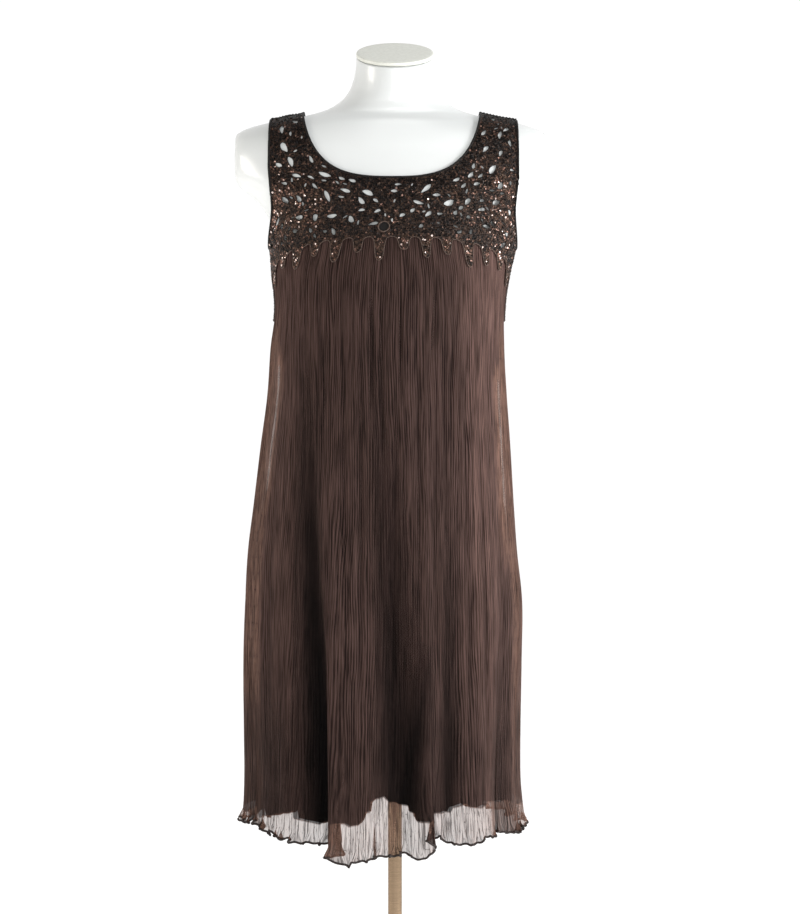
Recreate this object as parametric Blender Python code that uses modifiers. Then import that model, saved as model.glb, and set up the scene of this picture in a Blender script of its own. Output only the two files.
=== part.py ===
"""Sleeveless cocktail dress on a limbless dress form with a pole stand.

Metres, +Z up, the front faces -Y and the origin is the middle of the base's underside. An angle
called phi is measured about the Z axis from the front: 0 is the centre front, +90 degrees the
wearer's left side (+X), 180 the centre back. Lengths in the tables are in millimetres.
"""

import math
from collections import namedtuple

import bpy
import numpy as np
from mathutils import Vector
from mathutils.geometry import delaunay_2d_cdt

MM = 0.001
COLLECTION = "cocktail_dress_on_form"


def table(columns, rows):
    """Rows whose columns can be read by name."""
    row_kind = namedtuple("Row", columns)
    return tuple(row_kind(*row) for row in rows)


SEAM_GAP = 0.3  # mm between two pieces that are sewn together

# ---- stand
BASE_RADIUS, BASE_HEIGHT, BASE_BEVEL = 205.0, 12.0, 4.0
POLE_RADIUS, POLE_TOP = 9.0, 759.4
COLLAR_RADIUS, COLLAR_HEIGHT, COLLAR_BEVEL, COLLAR_BORE_GAP = 19.0, 34.0, 1.5, 0.3
BASE_STEPS, COLLAR_STEPS, POLE_STEPS, CAP_STEPS = 44, 20, 32, 40  # flats round each turned piece

# ---- dress form: half width, depth to the front and to the back, sideways shift, forward lean of the
# middle, and roundness (2 is an ellipse, more is squarer) of the level section at each height
FORM_ROWS = table("z half front back shift lean power", (
    (760, 136, 92, 102, -3, 0, 2.3),
    (860, 139, 96, 104, -3, 0, 2.3),
    (930, 131, 92, 95, -3, 0, 2.3),
    (1000, 118, 86, 84, -3, 0, 2.2),
    (1050, 113, 83, 78, -3, 0, 2.2),
    (1100, 119, 91, 83, -3, 0, 2.2),
    (1150, 129, 104, 90, -3, 0, 2.2),
    (1190, 136, 115, 96, -4, 0, 2.2),
    (1250, 146, 106, 100, -4, 0, 2.25),
    (1280, 155, 98, 98, -4, 0, 2.4),
    (1300, 168, 93, 95, -4, 0, 2.5),
    (1315, 182, 89, 92, -5, 0, 2.6),
    (1330, 200, 85, 88, -5, 0, 2.6),
    (1350, 208, 79, 83, -5, 0, 2.6),
    (1370, 208, 73, 77, -5, 0, 2.6),
    (1385, 203, 66, 71, -5, 0, 2.5),
    (1395, 189, 61, 65, -5, 0, 2.3),
    (1403, 165, 57, 61, -4, 0, 2.1),
    (1408.5, 138, 53, 57, -4, 0, 2.0),
    (1413, 114, 51, 54, -4, 0, 2.0),
    (1418, 94, 51, 53, -3, -1, 2.0),
    (1424, 79.5, 51, 53, -2.5, -1.5, 2.0),
    (1432, 68, 51, 52, -2, -2, 2.0),
    (1444, 58.5, 50, 51, -1, -3.5, 2.0),
    (1458, 53, 49.5, 50, -0.5, -5, 2.0),
    (1474, 50, 49, 49, 0, -6.5, 2.0),
    (1489, 49, 48, 48, 0, -8, 2.0),
))
FORM_POINTS = 32  # round one section
ARM_CUT = 198.0  # half width at which the shoulders are cut off flat
NECK_TILT, NECK_TILT_START = math.radians(24), 1418.0  # the neck is cut sloping down to the front
CAP_RADIUS, CAP_THICKNESS = 49.5, 5.0

# ---- dress: reach to each side of the pole of the outer cloth's outer face, below the armholes. The
# columns are z, left, right, front, back and power
UNDERARM = 1245.0
SKIRT_ROWS = (
    (440, 194, 166, 138, 134, 2.1),
    (500, 192, 164, 137, 133, 2.1),
    (560, 189, 158, 135, 131, 2.1),
    (640, 190, 158, 133, 129, 2.1),
    (720, 191, 160, 131, 127, 2.1),
    (800, 189, 161, 129, 124, 2.1),
    (860, 186, 155, 128, 120, 2.1),
    (920, 179, 151, 127, 114, 2.1),
    (990, 171, 147, 126, 109, 2.1),
    (1060, 162, 142, 125, 106, 2.1),
    (1120, 158, 139, 125, 105, 2.15),
    (1170, 152, 139, 125, 105, 2.2),
    (1210, 155, 144, 121, 106, 2.2),
    (UNDERARM, 158, 152, 112, 107, 2.2),
)
# the chest flares above the underarm until it meets the shoulders of the form
CHEST_ROWS = (
    (1262, 161, 155.5, 108, 106, 2.3),
    (1282, 168, 161, 103, 104, 2.4),
    (1300, 179, 171, 99, 101, 2.5),
    (1315, 193, 183, 95, 98, 2.6),
)
CHEST_EASE, SHOULDER_EASE = 3.6, 0.8  # clearance of the yoke before and behind the form, and on top
SHOULDER_START, SHOULDER_END = 1325.0, 1435.0  # between these the yoke follows the form
RIDGE_LOW = 1372.0  # below the lowest place of the shoulder line

CLOTH = 1.2  # wall of skirt and lining
YOKE_INNER, YOKE_OUTER = 1.5, 2.9  # faces of the yoke, measured out from the skirt's outer face
TAPE_INNER, TAPE_OUTER = 3.3, 4.5  # faces of the shoulder tapes
TAPE_ROWS, TAPE_COLUMNS = (4.0, 1.6, 0.0, -1.6, -4.0), 6  # to the front and to the back of the seam
BINDING_RADIUS = 1.3

# ---- neckline and shoulders, as seen from the front
NECK_CENTRE, NECK_HALF_WIDTH, NECK_POWER = -4.0, 113.0, 3.0
NECK_BOTTOM = {"front": 1325.0, "back": 1368.0}
STRAP_OUTER_LEFT, STRAP_OUTER_RIGHT = 156.0, 152.5
LAYOUT_HALF = 212.0  # half width of a yoke panel laid flat
LAYOUT_EASE = 60.0  # length over which the layout changes from the round of the underarm to the strap's width
ARMHOLE_SCOOP, ARMHOLE_SCOOP_LENGTH = 7.5, 110.0  # how far, and how far up, the underarm is cut round
ARMHOLE_STEPS, SIDE_SEAM_STEPS, NECK_STEPS, SHOULDER_STEPS = 16, 4, 31, 4
NECK_END_DENSITY = 0.8  # how much closer the neckline's points lie at its ends

# ---- lower edge of the yoke: it dips towards the side seams and carries a row of fingers
EDGE_CENTRE, EDGE_SIDE_DROP = 6.0, 58.0
# half the outline of a finger: share of its half width and of its length
FINGER_SHAPE = ((-1.2, 0), (-0.88, 0.42), (-0.66, 0.86), (0, 1), (0.66, 0.86), (0.88, 0.42), (1.2, 0))
FINGERS = {
    "front": table("place width length", (
        (-178, 13, 22), (-150, 12, 15), (-124, 13, 27), (-98, 12, 18), (-71, 14, 30), (-44, 12, 20),
        (-18, 13, 31), (11, 15, 17), (38, 12, 27), (64, 13, 21), (92, 13, 33), (118, 12, 24),
        (146, 13, 19), (176, 13, 23),
    )),
    "back": table("place width length", (
        (-172, 13, 20), (-140, 12, 26), (-108, 13, 17), (-76, 13, 29), (-42, 12, 21), (-8, 14, 30),
        (26, 12, 18), (60, 13, 27), (96, 13, 22), (132, 12, 28), (170, 13, 19),
    )),
}
# cutwork: half length and half width of the almond holes, how many, and corners of each
HOLES = {
    "front": table("length width count corners", (
        (7.6, 4.0, 12, 8), (5.8, 3.3, 32, 6), (4.3, 2.6, 42, 5),
    )),
    "back": table("length width count corners", (
        (7.6, 4.0, 10, 8), (5.8, 3.3, 28, 6), (4.3, 2.6, 34, 5),
    )),
}
HOLE_SPREAD, HOLE_LEAN, HOLE_TRIES = 0.12, 0.5, 6000  # spread in size, in lean (radians), and throws a size
BAR = 3.6  # narrowest bar between two holes
EDGE_BAR = 4.6  # narrowest bar beside an edge
EYELET = {"front": (-14.0, 19.0, 5.2), "back": None}  # place and radius of the one round ringed hole
EYELET_STEPS = 12
FILL_STEP, FILL_MARGIN, FILL_CLEAR = 15.0, 9.0, 5.5  # points between the holes: spacing, first row, clearance
SEED = {"front": 31, "back": 47}

# ---- folds of the skirt: where each valley starts and where it ends, its depth there, and its width on
# either side (a narrow right side makes a fold that laps over)
FOLDS = table("start_z start_phi hem_phi depth left right", (
    (1120, -78, -74, 7, 7, 6),
    (1160, -64, -60, 9, 6, 5),
    (1190, -50, -35, 19, 9, 3.2),
    (1190, -12, 7, 15, 11, 7),
    (1080, 33, 27, 13, 5, 6),
    (1150, 66, 63, 9, 6, 5),
    (1100, 84, 82, 6, 5, 5),
    (1120, 104, 106, 9, 6, 6),
    (1150, 124, 128, 13, 7, 5),
    (1100, 146, 148, 11, 6, 8),
    (1160, 168, 165, 15, 8, 5),
    (1090, 190, 188, 10, 6, 6),
    (1150, 211, 213, 14, 5, 8),
    (1110, 234, 235, 11, 7, 5),
    (1140, 258, 260, 9, 6, 6),
))
FOLD_END = 500.0  # height at which a fold has its full depth
FOLD_ROUNDING = 1.3  # how late a fold deepens on its way down
RIDGE_SHARE, RIDGE_PLACE = 0.35, 2.2  # height of the ridge beside a valley, and its distance in widths

# ---- hems, by angle
SKIRT_HEM = table("phi z", (
    (-90, 521), (-72, 517), (-54, 509), (-38, 502), (-29, 494), (-21, 483), (-13, 490), (0, 493),
    (13, 492), (21, 509), (30, 513), (42, 508), (58, 511), (74, 507), (90, 512), (112, 521),
    (134, 527), (156, 536), (180, 531), (204, 537), (228, 528), (250, 526), (270, 521),
))
SKIRT_TOP_CENTRE, SKIRT_TOP_SIDE = 1263.0, 1224.0
LINING_HEM, LINING_SCALLOP, LINING_WAVES = 545.0, 8.0, 15
LINING_RISE = 18.0  # how much shorter the lining is at the centre back
LINING_WAVE_DEPTH = 7.0
# clearance inside the skirt: at the yoke, more below it and at the sides, and more again at the hem
LINING_CLEAR, LINING_CLEAR_DOWN, LINING_CLEAR_SIDE, LINING_CLEAR_HEM = 0.4, 1.2, 7.5, 4.0
LINING_TUCK_TOP, LINING_TUCK_LENGTH, LINING_LOW_TOP, LINING_LOW_LENGTH = 1215.0, 130.0, 900.0, 400.0
RUFFLE_WAVES, RUFFLE_DEPTH, RUFFLE_DROP, RUFFLE_BAND = 72, 3.4, 1.8, 15.0
SKIRT_COLUMNS, LINING_COLUMNS = 48, 32  # of each half
COLUMN_HEIGHT = 700.0  # level at which the columns are spaced evenly
SKIRT_LEVELS = (0.0, 0.045, 0.09, 0.15, 0.25, 0.4, 0.6, 0.8)
LINING_LEVELS = (0.0, 0.1, 0.24, 0.42, 0.6, 0.8, 1.0)


# ------------------------------------------------------------------ tables and surfaces
def on_curve(rows, z):
    """Columns of a table at heights z: a cubic Hermite curve through the rows, whose slope at a row is
    taken from its neighbours."""
    rows = np.asarray(rows, float)
    heights, values = rows[:, 0], rows[:, 1:]
    slopes = np.gradient(values, heights, axis=0)
    z = np.clip(np.asarray(z, float), heights[0], heights[-1])
    i = np.clip(np.searchsorted(heights, z) - 1, 0, len(heights) - 2)
    step = heights[i + 1] - heights[i]
    t = ((z - heights[i]) / step)[..., None]
    step = step[..., None]
    near = (1 + 2 * t) * (1 - t) ** 2 * values[i] + t * (1 - t) ** 2 * step * slopes[i]
    far = t * t * (3 - 2 * t) * values[i + 1] + t * t * (t - 1) * step * slopes[i + 1]
    return near + far


def smoothstep(t):
    t = np.clip(t, 0, 1)
    return t * t * (3 - 2 * t)


def dress_rows():
    """Skirt and chest rows, then the form's own shoulder rows, eased forward and back."""
    shoulders = tuple(
        (z + SHOULDER_EASE, half - shift, half + shift, front + CHEST_EASE, back + CHEST_EASE, power)
        for z, half, front, back, shift, _, power in FORM_ROWS
        if SHOULDER_START < z < SHOULDER_END
    )
    return SKIRT_ROWS + CHEST_ROWS + shoulders


DRESS_ROWS = dress_rows()


def section(z, phi):
    """Superellipse radius at angle phi: each side has its own reach, front and back their own depth."""
    left, right, front, back, power = np.moveaxis(on_curve(DRESS_ROWS, z), -1, 0)
    across = np.where(np.sin(phi) < 0, left, right)
    deep = np.where(np.cos(phi) > 0, front, back)
    inverse = np.abs(np.sin(phi) / across) ** power + np.abs(np.cos(phi) / deep) ** power
    return inverse ** (-1 / power)


def folds(z, phi):
    """Sum of the valleys: a bell across the angle, wider or narrower on each side, with a lower ridge
    beside it, growing from nothing at its start to its full depth at the hem."""
    total = np.zeros(np.broadcast(z, phi).shape)
    for start_z, start_phi, hem_phi, depth, left, right in FOLDS:
        down = np.clip((start_z - z) / (start_z - FOLD_END), 0, 1.15)
        middle = start_phi + (hem_phi - start_phi) * down
        away = (np.degrees(phi) - middle + 180) % 360 - 180
        width = np.where(away < 0, left, right)
        beside = np.where(away < 0, away + RIDGE_PLACE * left, away - RIDGE_PLACE * right)
        valley = np.exp(-0.5 * (away / width) ** 2)
        ridge = np.exp(-0.5 * (beside / width) ** 2)
        total += depth * down**FOLD_ROUNDING * (RIDGE_SHARE * ridge - valley)
    return total


def cloth_radius(z, phi):
    """Radius of the skirt's outer face, folds and all."""
    return section(z, phi) + folds(z, phi)


def points_out(radius, z, phi, out):
    """Points of the surface radius(z, phi), moved out along its normal by the length out."""
    turn, rise = 1e-3, 0.25
    r = radius(z, phi)
    along = (radius(z, phi + turn) - radius(z, phi - turn)) / (2 * turn) / r
    up = (radius(z + rise, phi) - radius(z - rise, phi)) / (2 * rise)
    outward = np.stack([np.sin(phi), -np.cos(phi), np.zeros_like(r)], -1)
    sideways = np.stack([np.cos(phi), np.sin(phi), np.zeros_like(r)], -1)
    normal = outward - along[..., None] * sideways - up[..., None] * np.array([0, 0, 1.0])
    normal /= np.linalg.norm(normal, axis=-1, keepdims=True)
    place = r[..., None] * outward + np.asarray(z, float)[..., None] * np.array([0, 0, 1.0])
    return place + np.asarray(out, float)[..., None] * normal


# ------------------------------------------------------------------ the yoke's flat layout
class Panel:
    """One yoke panel. Its flat layout has u from -LAYOUT_HALF at the left side seam to +LAYOUT_HALF at
    the right, and v as the length up from the underarm: below it v runs down the level sections, and
    above it up over the chest at a fixed x, to the shoulder line on top of the form."""

    def __init__(self, side):
        self.side = side
        self.facing = 1 if side == "front" else -1
        sweep = np.radians(np.linspace(-90, 90, 361))
        around = sweep if side == "front" else math.pi - sweep
        r = section(np.full(sweep.shape, UNDERARM), around)
        flat = np.stack([r * np.sin(around), -r * np.cos(around)], -1)
        arc = np.concatenate([[0], np.cumsum(np.linalg.norm(np.diff(flat, axis=0), axis=1))])
        arc -= arc[180]
        scale = np.where(arc < 0, LAYOUT_HALF / -arc[0], LAYOUT_HALF / arc[-1])
        self.ring_u, self.ring_phi, self.ring_x = arc * scale, around, flat[:, 0]

    def x_of(self, u, v):
        """The underarm ring's own x at v = 0, evened out to a straight share of the strap's edge above."""
        edge = np.where(u < 0, STRAP_OUTER_LEFT, STRAP_OUTER_RIGHT)
        even = smoothstep(v / LAYOUT_EASE)
        return (1 - even) * np.interp(u, self.ring_u, self.ring_x) + even * u / LAYOUT_HALF * edge

    def u_of(self, x, v):
        us = np.linspace(-LAYOUT_HALF, LAYOUT_HALF, 425)
        return np.array([np.interp(a, self.x_of(us, b), us) for a, b in zip(x, v)])

    def chest_line(self, x):
        """Depth, height and running length of the upright section at x, from underarm to shoulder."""
        zs = np.linspace(RIDGE_LOW, SHOULDER_END - 1, 120)
        left, right, _, _, _ = np.moveaxis(on_curve(DRESS_ROWS, zs), -1, 0)
        reach = left if x < 0 else right
        ridge = np.interp(-abs(x), -reach, zs)
        z = UNDERARM + (ridge - UNDERARM) * np.sin(np.linspace(0, math.pi / 2, 90))
        left, right, front, back, power = np.moveaxis(on_curve(DRESS_ROWS, z), -1, 0)
        share = np.clip(1 - np.abs(x / (left if x < 0 else right)) ** power, 0, 1)
        y = (front if self.facing > 0 else back) * share ** (1 / power)
        if abs(x) > reach[-1]:
            y[-1] = 0.0
        length = np.concatenate([[0], np.cumsum(np.hypot(np.diff(y), np.diff(z)))])
        return y, z, length

    def place(self, u, v):
        """(z, phi) of layout points."""
        u, v = np.asarray(u, float), np.asarray(v, float)
        z = UNDERARM + np.minimum(v, 0)
        phi = np.interp(u, self.ring_u, self.ring_phi)
        for i in np.flatnonzero(v > 0):
            x = float(self.x_of(u[i], v[i]))
            y, height, length = self.chest_line(x)
            z[i] = np.interp(v[i], length, height)
            phi[i] = math.atan2(x, self.facing * np.interp(v[i], length, y))
        return z, phi

    def points(self, layout, out):
        z, phi = self.place(layout[:, 0], layout[:, 1])
        return points_out(cloth_radius, z, phi, np.full(z.shape, out))

    def shoulder(self, u):
        """v of the shoulder line at u, by stepping towards the length of the section it lies on."""
        v = np.full(np.shape(u), 180.0)
        for _ in range(6):
            v = np.array([self.chest_line(float(x))[2][-1] for x in self.x_of(u, v)])
        return v - SEAM_GAP / 2

    def neckline(self, count):
        """Layout points from the right shoulder down and round to the left: half a superellipse, of x
        against the length down the panel."""
        even = np.linspace(0, 1, count)
        turn = math.pi * even - NECK_END_DENSITY * np.sin(2 * math.pi * even) / 2
        across = np.sign(np.cos(turn)) * np.abs(np.cos(turn)) ** (2 / NECK_POWER)
        x = NECK_CENTRE + NECK_HALF_WIDTH * across
        drop = np.sin(turn) ** (2 / NECK_POWER)
        _, z, length = self.chest_line(NECK_CENTRE)
        bottom = np.interp(NECK_BOTTOM[self.side], z, length)
        tops = [self.chest_line(float(end))[2][-1] - SEAM_GAP / 2 for end in (x[0], x[-1])]
        v = bottom + (np.interp(turn, (0, math.pi), tops) - bottom) * (1 - drop)
        return np.stack([self.u_of(x, v), v], -1)

    def armhole(self, sign):
        """Layout points from the underarm up to the shoulder line, closer together at both ends. The lower
        part is scooped inwards, which makes the armhole round."""
        share = (1 - np.cos(np.linspace(0, math.pi, ARMHOLE_STEPS))) / 2
        end = LAYOUT_HALF - SEAM_GAP / 2
        v = self.shoulder(np.array([sign * end]))[0] * share
        scoop = np.sin(math.pi * np.sqrt(np.clip(v / ARMHOLE_SCOOP_LENGTH, 0, 1)))
        return np.stack([sign * (end - ARMHOLE_SCOOP * scoop), v], -1)


def finger_edge(side):
    """Lower edge from left to right: the dipping line, with a round-ended finger at each row."""
    end = LAYOUT_HALF - SEAM_GAP / 2

    def line(u):
        return EDGE_CENTRE - EDGE_SIDE_DROP * abs(u / LAYOUT_HALF) ** 3

    seam = np.linspace(0, line(end), SIDE_SEAM_STEPS + 1)[1:]
    points = [(-end, v) for v in seam]
    for place, width, length in FINGERS[side]:
        points += [(place + a * width / 2, line(place) - b * length) for a, b in FINGER_SHAPE]
    points += [(end, v) for v in seam[::-1]]
    return np.array(points)


def outline(panel):
    """The panel's cut edge, anticlockwise in its flat layout."""
    neck = panel.neckline(NECK_STEPS)
    left_arm, right_arm = panel.armhole(-1)[::-1], panel.armhole(1)
    right_us = np.linspace(right_arm[-1, 0], neck[0, 0], SHOULDER_STEPS + 1)[1:-1]
    left_us = np.linspace(neck[-1, 0], left_arm[0, 0], SHOULDER_STEPS + 1)[1:-1]
    right_seam = np.stack([right_us, panel.shoulder(right_us)], -1)
    left_seam = np.stack([left_us, panel.shoulder(left_us)], -1)
    return np.concatenate([finger_edge(panel.side), right_arm, right_seam, neck, left_seam, left_arm])


def inside(points, loop):
    """Even-odd test of points against a closed loop."""
    x, y = points[:, :1], points[:, 1:]
    x0, y0 = loop[:, 0], loop[:, 1]
    x1, y1 = np.roll(x0, -1), np.roll(y0, -1)
    spans = (y0 > y) != (y1 > y)
    with np.errstate(divide="ignore", invalid="ignore"):
        crossing = x0 + (y - y0) * (x1 - x0) / (y1 - y0)
    return (np.sum(spans & (x < crossing), axis=1) % 2) == 1


def dense(loop, step):
    """Points along a closed loop, no further apart than step."""
    ends = np.roll(loop, -1, axis=0)
    pieces = [
        a + (b - a) * np.linspace(0, 1, max(2, int(np.hypot(*(b - a)) / step) + 2))[:-1, None]
        for a, b in zip(loop, ends)
    ]
    return np.concatenate(pieces)


def stretch(v):
    """Real width of one layout millimetre across, at length v up the panel."""
    return 1 - (1 - STRAP_OUTER_RIGHT / LAYOUT_HALF) * smoothstep(v / LAYOUT_EASE)


def almond(centre, length, width, corners, tilt):
    """A pointed oval whose long axis lies at the angle tilt."""
    turn = np.arange(corners) * 2 * math.pi / corners
    along = length * np.cos(turn)
    over = width * np.sin(turn) * (0.8 + 0.2 * np.abs(np.sin(turn)))
    du = along * math.cos(tilt) - over * math.sin(tilt)
    dv = along * math.sin(tilt) + over * math.cos(tilt)
    return np.stack([centre[0] + du / stretch(centre[1]), centre[1] + dv], -1)


def clear_of(hole, others, least):
    """Whether a hole keeps at least this real distance from each of the other points."""
    if len(others) == 0:
        return True
    centre = hole.mean(axis=0)
    scale = np.array([stretch(centre[1]), 1.0])
    near = others[np.abs(others - centre).max(axis=1) < 30]
    apart = np.linalg.norm((dense(hole, 1.5)[:, None] - near[None]) * scale, axis=-1)
    return len(near) == 0 or apart.min() >= least


def cutwork(side, edge):
    """Almond holes thrown at random from the largest down, kept where a bar's width stays clear. Each
    leans along the circle round the neck on which it lies, more or less."""
    draw = np.random.default_rng(SEED[side])
    border, taken = dense(edge, 2.0), np.empty((0, 2))
    kept = []
    if EYELET[side]:
        u, v, radius = EYELET[side]
        kept.append(almond((u, v), radius, radius, EYELET_STEPS, 0.0))
        taken = dense(kept[0], 1.5)
    low, high = edge.min(axis=0), edge.max(axis=0)
    neck_v = edge[:, 1].max()
    for length, width, count, corners in HOLES[side]:
        made, tries = 0, 0
        while made < count and tries < HOLE_TRIES:
            tries += 1
            centre = low + (high - low) * draw.random(2)
            round_neck = math.atan2(centre[1] - neck_v, centre[0]) + math.pi / 2
            size = 1 + draw.uniform(-HOLE_SPREAD, HOLE_SPREAD)
            tilt = round_neck + draw.uniform(-HOLE_LEAN, HOLE_LEAN)
            if not inside(centre[None], edge)[0]:
                continue
            hole = almond(centre, length * size, width * size, corners, tilt)
            if clear_of(hole, border, EDGE_BAR) and clear_of(hole, taken, BAR):
                kept.append(hole)
                taken = np.concatenate([taken, dense(hole, 1.5)])
                made += 1
    return kept


def fill_points(edge, holes):
    """A loose grid of points on the uncut parts of a panel, so that the sheet bends smoothly there."""
    low, high = edge.min(axis=0) + FILL_MARGIN, edge.max(axis=0)
    across = np.linspace(low[0], high[0] - FILL_MARGIN, round((high[0] - low[0]) / FILL_STEP))
    grid = np.stack(np.meshgrid(across, np.arange(low[1], high[1], FILL_STEP)), -1).reshape(-1, 2)
    grid = grid[inside(grid, edge)]
    border = np.concatenate([dense(loop, 2.0) for loop in [edge] + holes])
    apart = np.linalg.norm(grid[:, None] - border[None], axis=-1).min(axis=1)
    grid = grid[apart > FILL_CLEAR]
    covered = np.zeros(len(grid), bool)
    for hole in holes:
        covered |= inside(grid, hole)
    return grid[~covered]


def cut_sheet(edge, holes):
    """Flat triangles of the panel: a Delaunay filling between its edge and its holes."""
    loops = [edge] + holes
    points, edges = [], []
    for loop in loops:
        start = len(points)
        points += [Vector(p) for p in loop]
        edges += [(start + i, start + (i + 1) % len(loop)) for i in range(len(loop))]
    points += [Vector(p) for p in fill_points(edge, holes)]
    flat, _, faces, _, _, _ = delaunay_2d_cdt(points, edges, [], 0, 1e-5)
    flat = np.array([tuple(p) for p in flat])
    faces = np.array(faces)
    middles = flat[faces].mean(axis=1)
    keep = inside(middles, edge)
    for hole in holes:
        keep &= ~inside(middles, hole)
    return flat, faces[keep]


# ------------------------------------------------------------------ meshes
def finish(name, mesh, colour, roughness, metallic=0.0, smooth=35.0):
    """Object, collection and material of a finished mesh."""
    obj = bpy.data.objects.new(name, mesh)
    bpy.data.collections[COLLECTION].objects.link(obj)
    paint(obj, colour, roughness, metallic)
    mesh.shade_smooth()
    mesh.set_sharp_from_angle(angle=math.radians(smooth))
    return obj


def paint(obj, colour, roughness, metallic=0.0):
    material = bpy.data.materials.new(obj.name)
    material.use_nodes = True
    shader = material.node_tree.nodes["Principled BSDF"]
    shader.inputs["Base Color"].default_value = (*colour, 1.0)
    shader.inputs["Roughness"].default_value = roughness
    shader.inputs["Metallic"].default_value = metallic
    obj.data.materials.append(material)


def wall(name, outer, inner, faces, colour, roughness):
    """A cloth wall between two copies of one sheet, closed all round its free edges."""
    faces = np.asarray(faces)
    count = len(outer)
    ends = np.concatenate([faces[:, [0, 1]], faces[:, [1, 2]], faces[:, [2, 0]]])
    pairs = {tuple(pair) for pair in ends.tolist()}
    free = [(a, b) for a, b in pairs if (b, a) not in pairs]
    sides = [(b, a, a + count, b + count) for a, b in sorted(free)]
    mesh = bpy.data.meshes.new(name)
    points = np.concatenate([outer, inner]) * MM
    mesh.from_pydata(points.tolist(), [], faces.tolist() + (faces[:, ::-1] + count).tolist() + sides)
    return finish(name, mesh, colour, roughness)


def rows_to_faces(sizes):
    """Triangles between neighbouring rows of points, top row first, left to right. A row may have three
    times as many steps as the one above it."""
    faces, start = [], 0
    for above, below in zip(sizes, sizes[1:]):
        a = start + np.arange(above - 1)
        first = start + above
        if above == below:
            b = first + np.arange(below - 1)
            faces += [np.stack([a, b, b + 1], -1), np.stack([a, b + 1, a + 1], -1)]
        else:
            f = first + 3 * np.arange(above - 1)
            faces += [np.stack([a, f, f + 1], -1), np.stack([a, f + 1, a + 1], -1)]
            faces += [np.stack([a + 1, f + 1, f + 2], -1), np.stack([a + 1, f + 2, f + 3], -1)]
        start += above
    return np.concatenate(faces)


def half_turn(side, steps):
    """Angles from one side seam to the other, left to right as seen on that side, evenly along the
    hem's section."""
    sweep = np.radians(np.linspace(-90, 90, 721))
    around = sweep if side == "front" else sweep + math.pi
    r = section(np.full(sweep.shape, COLUMN_HEIGHT), around)
    gap = SEAM_GAP / 2 / r[0]
    flat = np.stack([r * np.sin(around), -r * np.cos(around)], -1)
    arc = np.concatenate([[0], np.cumsum(np.linalg.norm(np.diff(flat, axis=0), axis=1))])
    angles = np.interp(np.linspace(0, arc[-1], steps + 1), arc, around)
    angles[0] += gap
    angles[-1] -= gap
    return angles


def hem_height(phi):
    """The skirt's hem line, read round the table and smoothed over the end."""
    degrees = (np.degrees(phi) + 90) % 360 - 90
    rows = np.array(SKIRT_HEM, float)
    rows = np.concatenate([rows[-4:-1] - [360, 0], rows, rows[1:4] + [360, 0]])
    return on_curve(rows, degrees)[..., 0]


def skirt_top(phi):
    return SKIRT_TOP_SIDE + (SKIRT_TOP_CENTRE - SKIRT_TOP_SIDE) * np.cos(phi) ** 2


# ------------------------------------------------------------------ the dress
BROWN, LINING_BROWN, YOKE_BROWN, BLACK_BROWN = (
    (0.075, 0.047, 0.038), (0.022, 0.014, 0.011), (0.028, 0.016, 0.011), (0.008, 0.005, 0.004),
)


def yoke(side):
    """Cutwork panel over chest or shoulder blades, with straps, holes and fingered lower edge."""
    panel = Panel(side)
    edge = outline(panel)
    flat, faces = cut_sheet(edge, cutwork(side, edge))
    outer, inner = panel.points(flat, YOKE_OUTER), panel.points(flat, YOKE_INNER)
    if side == "back":
        faces = faces[:, ::-1]
    wall(f"yoke_{side}", outer, inner, faces, YOKE_BROWN, 0.6)


def skirt(side):
    """Outer skirt of crinkled chiffon: gathered under the yoke, folded, with a waved lettuce hem."""
    coarse, fine = half_turn(side, SKIRT_COLUMNS), half_turn(side, SKIRT_COLUMNS * 3)
    hem = hem_height(fine)
    wave = np.pi * RUFFLE_WAVES * np.linspace(0, 1, len(fine))
    levels = []
    for share in SKIRT_LEVELS:
        bottom = hem_height(coarse) + RUFFLE_BAND
        levels.append((skirt_top(coarse) * (1 - share) + bottom * share, coarse))
    levels.append((hem_height(coarse) + RUFFLE_BAND, coarse))
    levels.append((hem + RUFFLE_DROP * np.cos(wave * 0.5), fine))

    def radius(z, phi):
        turns = (phi - fine[0]) / (fine[-1] - fine[0])
        along = np.interp(phi, fine, np.linspace(0, 1, len(fine)))
        along = np.where((turns < 0) | (turns > 1), turns, along)
        low = smoothstep((hem_height(phi) + RUFFLE_BAND - z) / RUFFLE_BAND)
        return cloth_radius(z, phi) + RUFFLE_DEPTH * low * np.cos(np.pi * RUFFLE_WAVES * along)

    outer = np.concatenate([points_out(radius, z, phi, np.zeros(z.shape)) for z, phi in levels])
    inner = np.concatenate([points_out(radius, z, phi, np.full(z.shape, -CLOTH)) for z, phi in levels])
    faces = rows_to_faces([len(phi) for _, phi in levels])
    wall(f"skirt_{side}", outer, inner, faces, BROWN, 0.8)


def lining_radius(z, phi):
    """The skirt's surface moved in: close at the yoke, further in at the sides and towards the hem, and
    waved by the fullness of its own hem."""
    sideways = np.sin(phi) ** 4
    down = smoothstep((LINING_TUCK_TOP - z) / LINING_TUCK_LENGTH)
    low = smoothstep((LINING_LOW_TOP - z) / LINING_LOW_LENGTH)
    clear = LINING_CLEAR + down * (LINING_CLEAR_DOWN + LINING_CLEAR_SIDE * sideways) + low * LINING_CLEAR_HEM
    wave = 0.5 - 0.5 * np.cos(LINING_WAVES * phi)
    return cloth_radius(z, phi) - CLOTH - clear - LINING_WAVE_DEPTH * low * wave


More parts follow.
